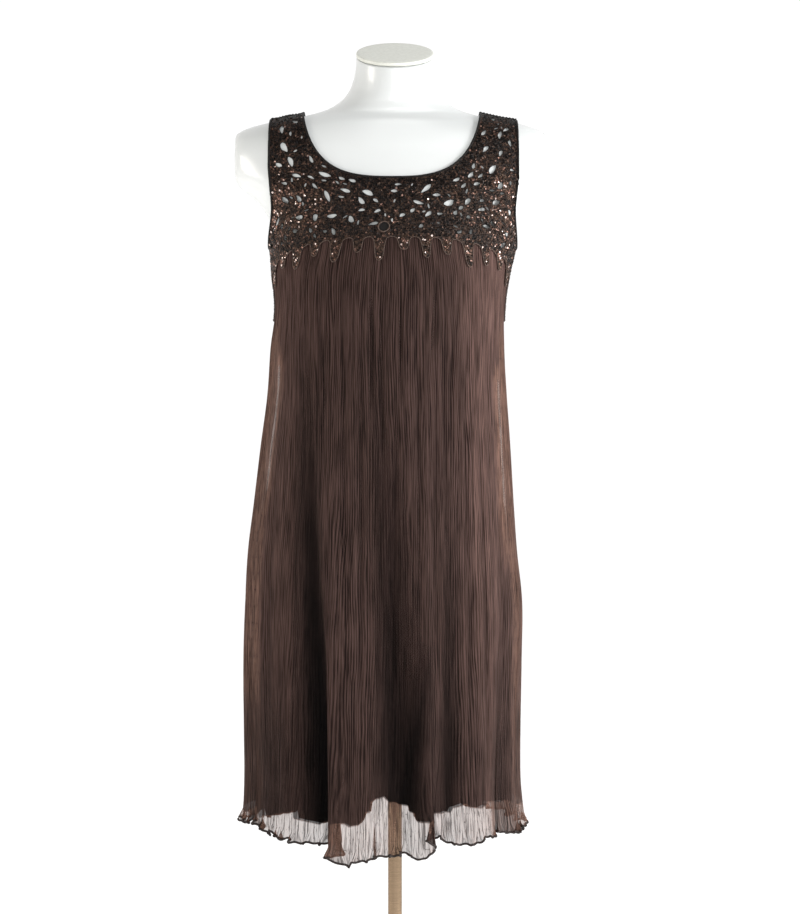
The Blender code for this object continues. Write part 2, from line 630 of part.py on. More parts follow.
def lining(side):
    """Opaque under-skirt from the yoke to above the hem, its hem in soft scallops."""
    around = half_turn(side, LINING_COLUMNS)
    rise = LINING_RISE * np.sin(around / 2) ** 4
    hem = LINING_HEM + rise - LINING_SCALLOP * np.cos(LINING_WAVES * around)
    levels = [(skirt_top(around) * (1 - share) + hem * share, around) for share in LINING_LEVELS]
    outer = np.concatenate([points_out(lining_radius, z, phi, np.zeros(z.shape)) for z, phi in levels])
    inner = np.concatenate([points_out(lining_radius, z, phi, np.full(z.shape, -CLOTH)) for z, phi in levels])
    faces = rows_to_faces([len(phi) for _, phi in levels])
    wall(f"lining_{side}", outer, inner, faces, LINING_BROWN, 0.6)


def binding(name, path):
    """A rolled binding: a closed round tube along an edge."""
    curve = bpy.data.curves.new(name, "CURVE")
    curve.dimensions = "3D"
    curve.bevel_depth = BINDING_RADIUS * MM
    curve.bevel_resolution = 1
    spline = curve.splines.new("POLY")
    spline.points.add(len(path) - 1)
    for point, place in zip(spline.points, path):
        point.co = (*(place * MM), 1.0)
    spline.use_cyclic_u = True
    obj = bpy.data.objects.new(name, curve)
    bpy.data.collections[COLLECTION].objects.link(obj)
    paint(obj, BLACK_BROWN, 0.7)


def bindings():
    """Round the neck and round each armhole, just off the yoke's cut edges."""
    front, back = Panel("front"), Panel("back")
    middle = (YOKE_INNER + YOKE_OUTER) / 2

    def edge(front_layout, back_layout):
        """Points of the closed edge, and points straight above them."""
        return [
            np.concatenate([front.points(front_layout, out), back.points(back_layout, out)[1:-1]])
            for out in (middle, middle + 1)
        ]

    loops = {"neck_binding": edge(front.neckline(NECK_STEPS), back.neckline(NECK_STEPS)[::-1])}
    for name, sign in (("armhole_binding_left", -1), ("armhole_binding_right", 1)):
        loops[name] = edge(front.armhole(sign), back.armhole(sign)[::-1])
    for name, (path, above) in loops.items():
        along = np.roll(path, -1, axis=0) - np.roll(path, 1, axis=0)
        into = np.cross(along, above - path)
        into /= np.linalg.norm(into, axis=1, keepdims=True)
        into *= np.sign(np.sum(into * (path.mean(axis=0) - path), axis=1, keepdims=True))
        binding(name, path + into * (BINDING_RADIUS + SEAM_GAP))


def shoulder_tape(side_name, sign):
    """Tape that covers a shoulder seam: a short strip over the top of the strap."""
    front, back = Panel("front"), Panel("back")
    neck_u = {1: front.neckline(3)[0, 0], -1: front.neckline(3)[-1, 0]}[sign]
    us = np.linspace(neck_u, sign * (LAYOUT_HALF - SEAM_GAP), TAPE_COLUMNS)
    us = us if sign > 0 else us[::-1]
    panels = [front if width >= 0 else back for width in TAPE_ROWS]
    rows = [np.stack([us, p.shoulder(us) - abs(width)], -1) for p, width in zip(panels, TAPE_ROWS)]
    outer = np.concatenate([p.points(row, TAPE_OUTER) for p, row in zip(panels, rows)])
    inner = np.concatenate([p.points(row, TAPE_INNER) for p, row in zip(panels, rows)])
    faces = rows_to_faces([TAPE_COLUMNS] * len(TAPE_ROWS))[:, ::-1]
    wall(f"shoulder_tape_{side_name}", outer, inner, faces, BLACK_BROWN, 0.7)


# ------------------------------------------------------------------ the form and its stand
def form_section(row):
    """Level section of the form as points evenly along it, cut flat at the arms, tilted at the neck."""
    z, half, front, back, shift, lean, power = row
    turn = np.linspace(0, 2 * math.pi, 721)
    across = half * np.sign(np.sin(turn)) * np.abs(np.sin(turn)) ** (2 / power)
    deep = np.where(np.cos(turn) > 0, front, back)
    along = -deep * np.sign(np.cos(turn)) * np.abs(np.cos(turn)) ** (2 / power)
    flat = np.stack([across, along], -1)
    arc = np.concatenate([[0], np.cumsum(np.linalg.norm(np.diff(flat, axis=0), axis=1))])
    at = np.linspace(0, arc[-1], FORM_POINTS + 1)[:-1]
    x = np.clip(np.interp(at, arc, across), -ARM_CUT, ARM_CUT) + shift
    y = np.interp(at, arc, along) + lean
    tilt = math.tan(NECK_TILT) * smoothstep((z - NECK_TILT_START) / (FORM_ROWS[-1][0] - NECK_TILT_START))
    return np.stack([x, y, z + tilt * (y - lean)], -1)


def torso():
    """The form: sections lofted from hip to neck, closed by flat ends."""
    sections = [form_section(row) for row in FORM_ROWS]
    points = np.concatenate(sections) * MM
    rings = [np.arange(FORM_POINTS) + FORM_POINTS * i for i in range(len(sections))]
    faces = [rings[0][::-1].tolist(), rings[-1].tolist()]
    for low, high in zip(rings, rings[1:]):
        for a, b, c, d in zip(low, np.roll(low, -1), np.roll(high, -1), high):
            faces.append([a, b, c, d])
    mesh = bpy.data.meshes.new("form_torso")
    mesh.from_pydata(points.tolist(), [], faces)
    finish("form_torso", mesh, (0.86, 0.87, 0.86), 0.35)


def neck_cap():
    """Flat disc on the sloping end of the neck."""
    z, _, _, _, _, lean, _ = FORM_ROWS[-1]
    lift = (CAP_THICKNESS / 2 + SEAM_GAP) * MM
    up = Vector((0, -math.sin(NECK_TILT), math.cos(NECK_TILT)))
    bpy.ops.mesh.primitive_cylinder_add(
        vertices=CAP_STEPS, radius=CAP_RADIUS * MM, depth=CAP_THICKNESS * MM,
        location=Vector((0, lean * MM, z * MM)) + up * lift, rotation=(NECK_TILT, 0, 0),
    )
    claim("neck_cap", (0.62, 0.63, 0.58), 0.5)


def claim(name, colour, roughness, metallic=0.0):
    """Name, collection and material of the object just added."""
    obj = bpy.context.object
    obj.name = name
    obj.data.name = name
    for owner in list(obj.users_collection):
        owner.objects.unlink(obj)
    bpy.data.collections[COLLECTION].objects.link(obj)
    paint(obj, colour, roughness, metallic)
    obj.data.shade_smooth()
    obj.data.set_sharp_from_angle(angle=math.radians(35))
    return obj


def turned(name, profile, colour, roughness, metallic, steps):
    """A shape turned about the Z axis. Its profile runs down the outside and closes on itself."""
    mesh = bpy.data.meshes.new(name)
    points = [(r * MM, 0, z * MM) for r, z in profile]
    edges = [(i, i + 1) for i in range(len(points) - 1)]
    if profile[0][0] > 0:
        edges.append((len(points) - 1, 0))
    mesh.from_pydata(points, edges, [])
    obj = bpy.data.objects.new(name, mesh)
    bpy.data.collections[COLLECTION].objects.link(obj)
    screw = obj.modifiers.new("turn", "SCREW")
    screw.steps = screw.render_steps = steps
    screw.use_merge_vertices = True
    screw.merge_threshold = 1e-5
    paint(obj, colour, roughness, metallic)
    return obj


def stand():
    """Round base plate, pole, and the collars where the pole enters the base and the form."""
    steel, satin = (0.62, 0.47, 0.33), 0.32
    turned("base_plate", (
        (0, BASE_HEIGHT), (BASE_RADIUS - BASE_BEVEL, BASE_HEIGHT), (BASE_RADIUS - 1, BASE_HEIGHT - 1.5),
        (BASE_RADIUS, BASE_HEIGHT - BASE_BEVEL), (BASE_RADIUS, 0), (0, 0),
    ), steel, satin, 1.0, BASE_STEPS)
    foot = BASE_HEIGHT + SEAM_GAP
    bpy.ops.mesh.primitive_cylinder_add(
        vertices=POLE_STEPS, radius=POLE_RADIUS * MM, depth=(POLE_TOP - foot) * MM,
        location=(0, 0, (POLE_TOP + foot) / 2 * MM),
    )
    claim("pole", steel, satin, 1.0)
    bore = POLE_RADIUS + COLLAR_BORE_GAP
    under_form = FORM_ROWS[0][0] - SEAM_GAP
    for name, low, high in (
        ("base_collar", foot, foot + COLLAR_HEIGHT),
        ("form_collar", under_form - COLLAR_HEIGHT, under_form),
    ):
        turned(name, (
            (bore, high), (COLLAR_RADIUS - COLLAR_BEVEL, high), (COLLAR_RADIUS, high - COLLAR_BEVEL),
            (COLLAR_RADIUS, low + COLLAR_BEVEL), (COLLAR_RADIUS - COLLAR_BEVEL, low), (bore, low),
        ), steel, satin, 1.0, COLLAR_STEPS)


# ------------------------------------------------------------------ build
for old in list(bpy.data.objects):
    bpy.data.objects.remove(old, do_unlink=True)
bpy.context.scene.collection.children.link(bpy.data.collections.new(COLLECTION))

stand()
torso()
neck_cap()
for half in ("front", "back"):
    lining(half)
    skirt(half)
    yoke(half)
bindings()
shoulder_tape("left", -1)
shoulder_tape("right", 1)
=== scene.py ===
"""Looks of a sleeveless chiffon cocktail dress with a cutwork yoke, on a limbless dress form with a pole.

Lengths in the tables and functions are millimetres, and meshes are made in metres. The angle phi is measured
about the Z axis from the front (-Y): 0 is the centre front, +90 degrees is +X. Left and right are as seen
from the front, so left is -X.
"""
import math
from collections import namedtuple

import bpy
import numpy as np
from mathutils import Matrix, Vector
from mathutils.geometry import delaunay_2d_cdt


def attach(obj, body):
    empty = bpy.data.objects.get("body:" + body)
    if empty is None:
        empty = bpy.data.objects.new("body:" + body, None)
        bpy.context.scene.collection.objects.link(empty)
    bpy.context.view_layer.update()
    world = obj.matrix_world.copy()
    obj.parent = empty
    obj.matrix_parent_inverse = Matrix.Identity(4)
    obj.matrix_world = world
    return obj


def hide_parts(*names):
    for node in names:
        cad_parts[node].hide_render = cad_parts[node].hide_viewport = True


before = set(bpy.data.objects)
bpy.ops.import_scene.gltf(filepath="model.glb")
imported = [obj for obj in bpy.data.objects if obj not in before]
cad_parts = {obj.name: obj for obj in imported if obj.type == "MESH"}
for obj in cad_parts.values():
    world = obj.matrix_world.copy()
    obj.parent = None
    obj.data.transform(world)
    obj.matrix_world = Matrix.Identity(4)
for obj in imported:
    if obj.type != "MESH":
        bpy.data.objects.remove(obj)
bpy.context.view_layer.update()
MM = 0.001
SIDES = ("front", "back")
SEAM_GAP = 0.3


def table(columns, rows):
    """Rows whose columns can be read by name."""
    row_kind = namedtuple("Row", columns)
    return tuple(row_kind(*row) for row in rows)


# ---------------------------------------------------------------- sizes of the form and of its stand
FORM_ROWS = table("z half front back shift lean power", (
    (760, 136, 92, 102, -3, 0, 2.3),
    (860, 139, 96, 104, -3, 0, 2.3),
    (930, 131, 92, 95, -3, 0, 2.3),
    (1000, 118, 86, 84, -3, 0, 2.2),
    (1050, 113, 83, 78, -3, 0, 2.2),
    (1100, 119, 91, 83, -3, 0, 2.2),
    (1150, 129, 104, 90, -3, 0, 2.2),
    (1190, 136, 115, 96, -4, 0, 2.2),
    (1250, 146, 106, 100, -4, 0, 2.25),
    (1280, 155, 98, 98, -4, 0, 2.4),
    (1300, 168, 93, 95, -4, 0, 2.5),
    (1315, 182, 89, 92, -5, 0, 2.6),
    (1330, 200, 85, 88, -5, 0, 2.6),
    (1350, 208, 79, 83, -5, 0, 2.6),
    (1370, 208, 73, 77, -5, 0, 2.6),
    (1385, 203, 66, 71, -5, 0, 2.5),
    (1395, 189, 61, 65, -5, 0, 2.3),
    (1403, 165, 57, 61, -4, 0, 2.1),
    (1408.5, 138, 53, 57, -4, 0, 2.0),
    (1413, 114, 51, 54, -4, 0, 2.0),
    (1418, 94, 51, 53, -3, -1, 2.0),
    (1424, 79.5, 51, 53, -2.5, -1.5, 2.0),
    (1432, 68, 51, 52, -2, -2, 2.0),
    (1444, 58.5, 50, 51, -1, -3.5, 2.0),
    (1458, 53, 49.5, 50, -0.5, -5, 2.0),
    (1474, 50, 49, 49, 0, -6.5, 2.0),
    (1489, 49, 48, 48, 0, -8, 2.0),
))
ARM_CUT, ARM_ROUND = 198.0, 7.0
YOKE_REST, SKIRT_REST = 0.5, -3.4
# height and length of the changes: where the form is filled out to the cloth, and how close it lies there
FILL_START, FILL_END, REST_CHANGE = (1222, 30), (1405, 25), (1264, 14)
NECK_TILT, NECK_TILT_START = math.radians(24), 1418.0
CAP_RADIUS, CAP_THICKNESS, CAP_ROUND = 49.5, 5.0, 1.2
POLE_RADIUS, POLE_TOP, COLLAR_HEIGHT = 9.0, 759.4, 34.0
BASE_RADIUS, BASE_HEIGHT, BASE_ROUND = 205.0, 12.0, 4.0

# ---------------------------------------------------------------- the dress's sections and cut
UNDERARM = 1245.0
SKIRT_ROWS = (  # z, left, right, front, back, power
    (440, 194, 166, 138, 134, 2.1),
    (500, 192, 164, 137, 133, 2.1),
    (560, 189, 158, 135, 131, 2.1),
    (640, 190, 158, 133, 129, 2.1),
    (720, 191, 160, 131, 127, 2.1),
    (800, 189, 161, 129, 124, 2.1),
    (860, 186, 155, 128, 120, 2.1),
    (920, 179, 151, 127, 114, 2.1),
    (990, 171, 147, 126, 109, 2.1),
    (1060, 162, 142, 125, 106, 2.1),
    (1120, 158, 139, 125, 105, 2.15),
    (1170, 152, 139, 125, 105, 2.2),
    (1210, 155, 144, 121, 106, 2.2),
    (UNDERARM, 158, 152, 112, 107, 2.2),
)
CHEST_ROWS = (
    (1262, 161, 155.5, 108, 106, 2.3),
    (1282, 168, 161, 103, 104, 2.4),
    (1300, 179, 171, 99, 101, 2.5),
    (1315, 193, 183, 95, 98, 2.6),
)
CHEST_EASE, SHOULDER_EASE = 3.6, 0.8
SHOULDER_START, SHOULDER_END = 1325.0, 1435.0
RIDGE_LOW = 1372.0
CLOTH = 1.2
YOKE_INNER, YOKE_OUTER = 1.1, 1.8
BINDING_OUT, BINDING_RADIUS, BINDING_LAP = 2.4, 1.3, 0.4
TAPE_HALF_WIDTH, TAPE_OVERHANG, TAPE_END, TAPE_TOP, TAPE_ROUND = 9.5, 4.0, 1.2, 5.2, 2.9
NECK_CENTRE, NECK_HALF_WIDTH, NECK_POWER = -4.0, 113.0, 3.0
NECK_BOTTOM = {"front": 1325.0, "back": 1368.0}
STRAP_OUTER_LEFT, STRAP_OUTER_RIGHT = 156.0, 152.5
LAYOUT_HALF, LAYOUT_EASE = 212.0, 60.0
ARMHOLE_SCOOP, ARMHOLE_SCOOP_LENGTH = 7.5, 110.0
ARMHOLE_STEPS, SIDE_SEAM_STEPS, NECK_STEPS, SHOULDER_STEPS = 16, 4, 31, 4
NECK_END_DENSITY = 0.8
FINE_STEPS, FINE_SEAM_STEPS = (141, 56, 14), 12
EDGE_CENTRE, EDGE_SIDE_DROP = 6.0, 58.0
FINGER_SHAPE = ((-1.2, 0), (-0.88, 0.42), (-0.66, 0.86), (0, 1), (0.66, 0.86), (0.88, 0.42), (1.2, 0))
FINGERS = {
    "front": table("place width length", (
        (-178, 13, 22), (-150, 12, 15), (-124, 13, 27), (-98, 12, 18), (-71, 14, 30), (-44, 12, 20),
        (-18, 13, 31), (11, 15, 17), (38, 12, 27), (64, 13, 21), (92, 13, 33), (118, 12, 24),
        (146, 13, 19), (176, 13, 23),
    )),
    "back": table("place width length", (
        (-172, 13, 20), (-140, 12, 26), (-108, 13, 17), (-76, 13, 29), (-42, 12, 21), (-8, 14, 30),
        (26, 12, 18), (60, 13, 27), (96, 13, 22), (132, 12, 28), (170, 13, 19),
    )),
}
HOLES = {
    "front": table("length width count corners", (
        (7.6, 4.0, 12, 8), (5.8, 3.3, 32, 6), (4.3, 2.6, 42, 5),
    )),
    "back": table("length width count corners", (
        (7.6, 4.0, 10, 8), (5.8, 3.3, 28, 6), (4.3, 2.6, 34, 5),
    )),
}
HOLE_SPREAD, HOLE_LEAN, HOLE_TRIES = 0.12, 0.5, 6000
BAR, EDGE_BAR = 3.6, 4.6
SMALL_HOLES, SMALL_TRIES, SMALL_BAR, SMALL_EDGE_BAR = 50, 9000, 1.6, 2.6
HOLE_REACH, CORDED_SIZE, CORD_RADIUS = 14.0, 10.0, 0.45
EYELET = {"front": (-14.0, 19.0, 5.2), "back": None}
EYELET_STEPS, EYELET_RIM = 12, 1.4
SEQUIN_STEP, SEQUIN_LIFT, SHOULDER_BAND, SIDE_BEADS = 2.6, YOKE_OUTER + 0.55, 12.0, 130
SEED, SKIRT_SEED = {"front": 31, "back": 47}, {"front": 11, "back": 61}

FOLDS = table("start_z start_phi hem_phi depth left right", (
    (1120, -78, -74, 7, 7, 6),
    (1160, -64, -60, 9, 6, 5),
    (1190, -50, -35, 19, 9, 3.2),
    (1190, -12, 7, 15, 11, 7),
    (1080, 33, 27, 13, 5, 6),
    (1150, 66, 63, 9, 6, 5),
    (1100, 84, 82, 6, 5, 5),
    (1120, 104, 106, 9, 6, 6),
    (1150, 124, 128, 13, 7, 5),
    (1100, 146, 148, 11, 6, 8),
    (1160, 168, 165, 15, 8, 5),
    (1090, 190, 188, 10, 6, 6),
    (1150, 211, 213, 14, 5, 8),
    (1110, 234, 235, 11, 7, 5),
    (1140, 258, 260, 9, 6, 6),
))
FOLD_END, FOLD_ROUNDING, FOLD_MOST = 500.0, 1.3, 1.15
RIDGE_SHARE, RIDGE_PLACE = 0.35, 2.2
SKIRT_TOP_CENTRE, SKIRT_TOP_SIDE = 1264.0, 1238.0
COLUMN_HEIGHT = 700.0

# laps: where a fold's edge lies over its neighbour. The edge's angle at its start and at the hem, how far it
# is drawn over at the hem (plus: the cloth on the right lies over, minus: that on the left), its spread, how
# early it has its full size (the power of the share of the way down), and whether the lining laps with it
LAPS = table("start_z start_phi hem_phi overlap spread power lined", (
    (900, -38, -30.5, 13, 7.0, 1.5, 1),
    (640, 21, 18.5, -12, 5.0, 1.5, 1),
    (600, -11, -10.5, 6, 3.5, 1.5, 1),
    (720, 62, 60, 6, 4.5, 1.5, 1),
    (760, -69, -70, 7, 5.0, 1.5, 1),
    (1150, 80, 79, 9, 15.0, 0.35, 0),
    (1150, -82, -80, -9, 15.0, 0.35, 0),
    (1120, 101, 100, -8, 13.0, 0.4, 0),
    (1130, 258, 259, 8, 13.0, 0.4, 0),
    (800, 130, 134, 10, 6.0, 1.5, 1),
    (760, 171, 168, -10, 6.0, 1.5, 1),
    (820, 214, 217, 9, 6.0, 1.5, 1),
    (700, 236, 238, -7, 5.0, 1.5, 1),
))
LAP_PULL, LAP_SINK, LAP_RECOVERY = 0.8, 5.0, 2.6

# fine long creases between the folds: start, end, angle at both, depth and half width
CREASES = table("top bottom top_phi bottom_phi depth width", (
    (1190, 760, -30, -26, 2.2, 1.3), (1150, 620, -20, -18, 2.6, 1.4), (1230, 900, -8, -7, 1.8, 1.1),
    (1100, 520, 2, -3, 2.4, 1.4), (1200, 700, 12, 14, 2.0, 1.2), (1080, 520, 23, 19, 2.4, 1.5),
    (1210, 820, 27, 29, 1.8, 1.1), (1150, 560, 41, 40, 2.6, 1.3), (1060, 530, 50, 49, 3.0, 1.5),
    (1180, 800, 57, 57, 1.8, 1.2), (1120, 640, 73, 74, 2.4, 1.4), (1210, 850, -42, -44, 2.0, 1.2),
    (1100, 560, -55, -50, 2.6, 1.4), (980, 520, -66, -65, 2.8, 1.5), (1150, 650, -72, -80, 2.2, 1.3),
    (1140, 940, -40, -38, 2.6, 1.1), (930, 690, -35.5, -33, 2.6, 1.1), (1200, 1030, -13.5, -13, 3.4, 1.1),
    (1210, 1040, 3.4, 3.0, 2.8, 1.0), (1215, 1080, 24, 20, 3.0, 1.1), (1160, 1000, 34, 31, 2.2, 1.0),
    (1190, 700, 98, 97, 2.4, 1.3), (1100, 560, 113, 116, 2.6, 1.4), (1180, 800, 134, 137, 2.0, 1.2),
    (1090, 560, 156, 157, 2.8, 1.4), (1200, 760, 178, 176, 2.2, 1.3), (1060, 560, 199, 200, 2.6, 1.4),
    (1180, 640, 222, 224, 2.2, 1.3), (1100, 600, 244, 246, 2.6, 1.4), (1170, 780, 264, 265, 2.0, 1.2),
    (1200, 1010, 148, 146, 3.0, 1.1), (1205, 1030, 189, 190, 3.0, 1.1), (1190, 980, 208, 206, 2.6, 1.1),
))

# how dark the cloth lies between its folds: start, end, angle at both, half widths, and the darkness at the
# end, which grows with a power of the share of the way down. A negative one is a ridge that catches the
# light
SHADOWS = table("top bottom top_phi bottom_phi left right depth power", (
    (1160, 560, -51.0, -38.0, 4.0, 2.6, 3.2, 1.1),
    (1200, 700, -15, -5, 3.0, 4.0, 0.55, 0.7),
    (1050, 560, -3, 6, 6.0, 8.0, 1.1, 1.0),
    (760, 560, 19, 5.5, 2.5, 3.5, 1.5, 0.7),
    (1080, 560, 27, 18, 3.0, 3.0, -0.15, 0.8),
    (900, 560, 29.5, 29.5, 2.4, 2.6, 1.05, 0.7),
    (820, 560, 45, 45, 3.0, 3.0, 0.25, 0.5),
    (900, 560, 66, 64, 4.0, 4.0, 0.45, 0.8),
    (1000, 560, -22, -17, 4.0, 4.0, -0.12, 0.5),
    (780, 540, -61, -60, 6.0, 6.0, 0.50, 1.0),
    (1100, 560, 124, 128, 4.0, 3.0, 0.9, 1.3),
    (1080, 560, 166, 165, 5.0, 3.5, 1.3, 1.3),
    (1080, 560, 211, 213, 3.5, 5.0, 1.0, 1.3),
))
SHADOW_MOST = 1.1
LOW_SHADE_TOP, LOW_SHADE_LENGTH, LOW_SHADE, LOW_SHADE_LEFT = 740.0, 150.0, 0.27, 0.14
# how the cloth lightens towards the sides: side (-1 left, 1 right), sine of the angle where it starts, its
# reach, and the strength
SIDE_LIGHT = ((1, 0.48, 0.30, 0.48), (-1, 0.62, 0.34, 0.34))
# where two layers of the sheer hem lie over each other: middle and half width of the angle, and strength
DOUBLED = (
    (67.0, 15.0, 0.62), (-31.5, 4.4, 0.9), (19.2, 2.4, 0.9), (-77.0, 3.0, 0.5), (228.0, 7.0, 0.6),
    (133.0, 4.0, 0.8),
)
# strip beside each side seam that the finish paints lighter, painted light on the sides: how far it counts as
# without lining, and how far that fades low down, left and right
STRIP_BARE_AND_LIT, STRIP_FADE = (0.72, 0.56), (0.75, 0.35)
# sheer streaks beside the side seams: top, bottom, angle at both, and half width
STREAKS = (
    (1105, 820, 69, 71, 11.0), (1105, 820, 104.5, 103.5, 10.0),
    (1120, 860, -69, -73, 7.5), (1120, 860, -104.5, -102, 7.0),
)

# hem of the chiffon and of the lining, by angle. Neighbouring rows that jump mark a fold's edge
SKIRT_HEM = table("phi z", (
    (-90, 521), (-80, 519), (-72, 517), (-63, 513), (-54, 509), (-46, 505), (-40, 503), (-37, 506),
    (-34, 495), (-31, 492), (-27, 489), (-23, 484), (-20, 481), (-17, 487), (-13, 488), (-10, 493),
    (-6, 491), (0, 493), (7, 493), (12, 489), (15, 491), (18, 505), (21, 512), (24, 514), (27, 508),
    (34, 505), (42, 505), (45, 511), (52, 509), (60, 513), (67, 510), (74, 508), (82, 509), (90, 512),
    (101, 518), (112, 521), (122, 523), (134, 527), (145, 533), (156, 536), (168, 531), (180, 531),
    (192, 534), (204, 537), (216, 530), (228, 528), (239, 530), (250, 526), (260, 524), (270, 521),
))
LINING_HEM = table("phi z", (
    (-90, 536), (-83, 531), (-76.5, 541), (-74, 527), (-68, 531), (-60, 537), (-51, 540), (-49.8, 543),
    (-49.5, 534), (-47, 532), (-41, 528), (-37, 532), (-34.8, 541), (-33, 541), (-31, 533), (-29, 531),
    (-26, 531), (-24, 532), (-22, 528), (-18, 530), (-16, 536), (-15, 545), (-13.4, 545), (-13, 557),
    (-10, 561), (-6, 565), (-3, 557), (2.5, 555), (7.7, 552), (8.2, 545), (10.8, 543), (11.6, 535),
    (16, 533), (18, 538), (20, 544), (26, 543), (30.6, 543), (31.7, 549), (37, 554), (38.8, 549),
    (44, 548), (47.5, 550), (48.8, 555), (53, 554), (60, 549), (66, 551), (74, 543), (90, 540),
    (101, 547), (109, 551), (109.8, 543), (119, 541), (128, 552), (133, 556), (133.6, 548), (144, 545),
    (154, 558), (160, 560), (160.5, 551), (170, 549), (182, 562), (188, 563), (188.6, 554), (198, 551),
    (207, 560), (213, 561), (213.8, 551), (226, 547), (236, 556), (243, 555), (243.6, 546), (256, 541),
    (270, 536),
))
LINING_CLEAR, LINING_CLEAR_DOWN, LINING_CLEAR_SIDE, LINING_CLEAR_HEM = 1.0, 1.6, 6.5, 1.5
LINING_HIPS, LINING_HIPS_REACH = 1000.0, 110.0
LINING_TUCK_TOP, LINING_TUCK_LENGTH, LINING_LOW_TOP, LINING_LOW_LENGTH = 1215.0, 130.0, 900.0, 400.0
LINING_WAVES, LINING_WAVE_DEPTH = 15, 3.5
STREAK_TUCK, STREAK_HEIGHT, STREAK_REACH = 1.25, 1020.0, 95.0

# ---------------------------------------------------------------- fineness of the meshes
CHIFFON_COLUMNS, CHIFFON_ROWS, LINING_EDGE_ROWS, BARE_ROWS, CHIFFON_HEM_ROWS = 960, 70, 4, 9, 18
LINING_COLUMNS, LINING_ROWS = 300, 110
RUFFLE_PITCH, RUFFLE_BAND, RUFFLE_DEPTH, RUFFLE_DROP, RUFFLE_SWING = 14.0, 15.0, 4.0, 3.6, 2.8
CRINKLE_DEPTH, CRINKLE_SHARES, CRINKLE_FLOOR = 0.9, (0.90, 0.24, 0.10), 0.35
FINE_PLEAT, HOOK_PITCH, MERROW_RADIUS, VALLEY_FADE = 2.9, 27.0, 1.45, 6.5

# name, place, target, width, power in watts and colour of each lamp, its lengths in metres
LIGHTS = (
    ("key", (2.6, -1.0, 1.7), (0, 0, 1.05), 1.1, 92),
    ("front", (0.25, -3.4, 1.45), (0, 0, 1.1), 0.7, 30),
    ("left_side", (-2.7, -0.8, 1.5), (0, 0, 0.95), 1.1, 34, (1.0, 0.94, 0.86)),
    ("top", (0.4, -1.2, 2.9), (0, 0, 1.3), 1.0, 8),
)


# ================================================================ curves and noise
def on_curve(rows, z):
    """Columns of a table at z: a cubic Hermite curve through the rows, slopes from the neighbours."""
    rows = np.asarray(rows, float)
    heights, values = rows[:, 0], rows[:, 1:]
    slopes = np.gradient(values, heights, axis=0)
    z = np.clip(np.asarray(z, float), heights[0], heights[-1])
    i = np.clip(np.searchsorted(heights, z) - 1, 0, len(heights) - 2)
    step = heights[i + 1] - heights[i]
    t = ((z - heights[i]) / step)[..., None]
    step = step[..., None]
    near = (1 + 2 * t) * (1 - t) ** 2 * values[i] + t * (1 - t) ** 2 * step * slopes[i]
    far = t * t * (3 - 2 * t) * values[i + 1] + t * t * (t - 1) * step * slopes[i + 1]
    return near + far


def columns_at(rows, z):
    """The columns of a table at z, one array each."""
    return np.moveaxis(on_curve(rows, z), -1, 0)


def smoothstep(t):
    """3 t^2 - 2 t^3 between 0 and 1."""
    t = np.clip(t, 0, 1)
    return t * t * (3 - 2 * t)


def bell(x, width):
    """exp(-(x / width)^2 / 2)."""
    return np.exp(-0.5 * (x / width) ** 2)


def unit(vectors):
    """The same directions with length 1."""
    return vectors / np.maximum(np.linalg.norm(vectors, axis=-1, keepdims=True), 1e-9)


def lattice_noise(x, y, seed):
    """Smooth random heights from 0 to 1: random values on whole numbers, blended with smoothsteps."""
    values = np.random.default_rng(seed).random((256, 256))
    x0, y0 = np.floor(x).astype(int), np.floor(y).astype(int)
    u, v = smoothstep(x - x0), smoothstep(y - y0)
    a, b = values[x0 % 256, y0 % 256], values[(x0 + 1) % 256, y0 % 256]
    c, d = values[x0 % 256, (y0 + 1) % 256], values[(x0 + 1) % 256, (y0 + 1) % 256]
    return (a * (1 - u) + b * u) * (1 - v) + (c * (1 - u) + d * u) * v


# skirt and chest rows, then the form's own shoulder rows, eased forward and back
DRESS_ROWS = SKIRT_ROWS + CHEST_ROWS + tuple(
    (row.z + SHOULDER_EASE, row.half - row.shift, row.half + row.shift,
     row.front + CHEST_EASE, row.back + CHEST_EASE, row.power)
    for row in FORM_ROWS if SHOULDER_START < row.z < SHOULDER_END
)


def around(r, phi, z):
    """Points at radius r, angle phi and height z."""
    return np.stack([r * np.sin(phi), -r * np.cos(phi), np.broadcast_to(z, np.shape(r))], -1)


def section(z, phi):
    """Superellipse radius: |sin phi / reach|^p + |cos phi / depth|^p = r^-p, each side with its own
    reach."""
    left, right, front, back, power = columns_at(DRESS_ROWS, z)
    across = np.where(np.sin(phi) < 0, left, right)
    deep = np.where(np.cos(phi) > 0, front, back)
    inverse = np.abs(np.sin(phi) / across) ** power + np.abs(np.cos(phi) / deep) ** power
    return inverse ** (-1 / power)


def ring(z, phi):
    """Plan of the section at one height, at the angles phi, and the length along it."""
    plan = around(section(np.full(phi.shape, z), phi), phi, 0)[:, :2]
    return plan, np.concatenate([[0], np.cumsum(np.linalg.norm(np.diff(plan, axis=0), axis=1))])


def turn_to(phi, middle):
    """Degrees from the angle middle to phi, between -180 and 180."""
    return (np.degrees(phi) - middle + 180) % 360 - 180


def way_down(z, phi, top, bottom, top_phi, bottom_phi, most=1.0):
    """Share of the way from top to bottom, up to most, and degrees off the line that slants down from
    top_phi to bottom_phi."""
    share = np.clip((top - z) / (top - bottom), 0, most)
    return share, turn_to(phi, top_phi + (bottom_phi - top_phi) * share)


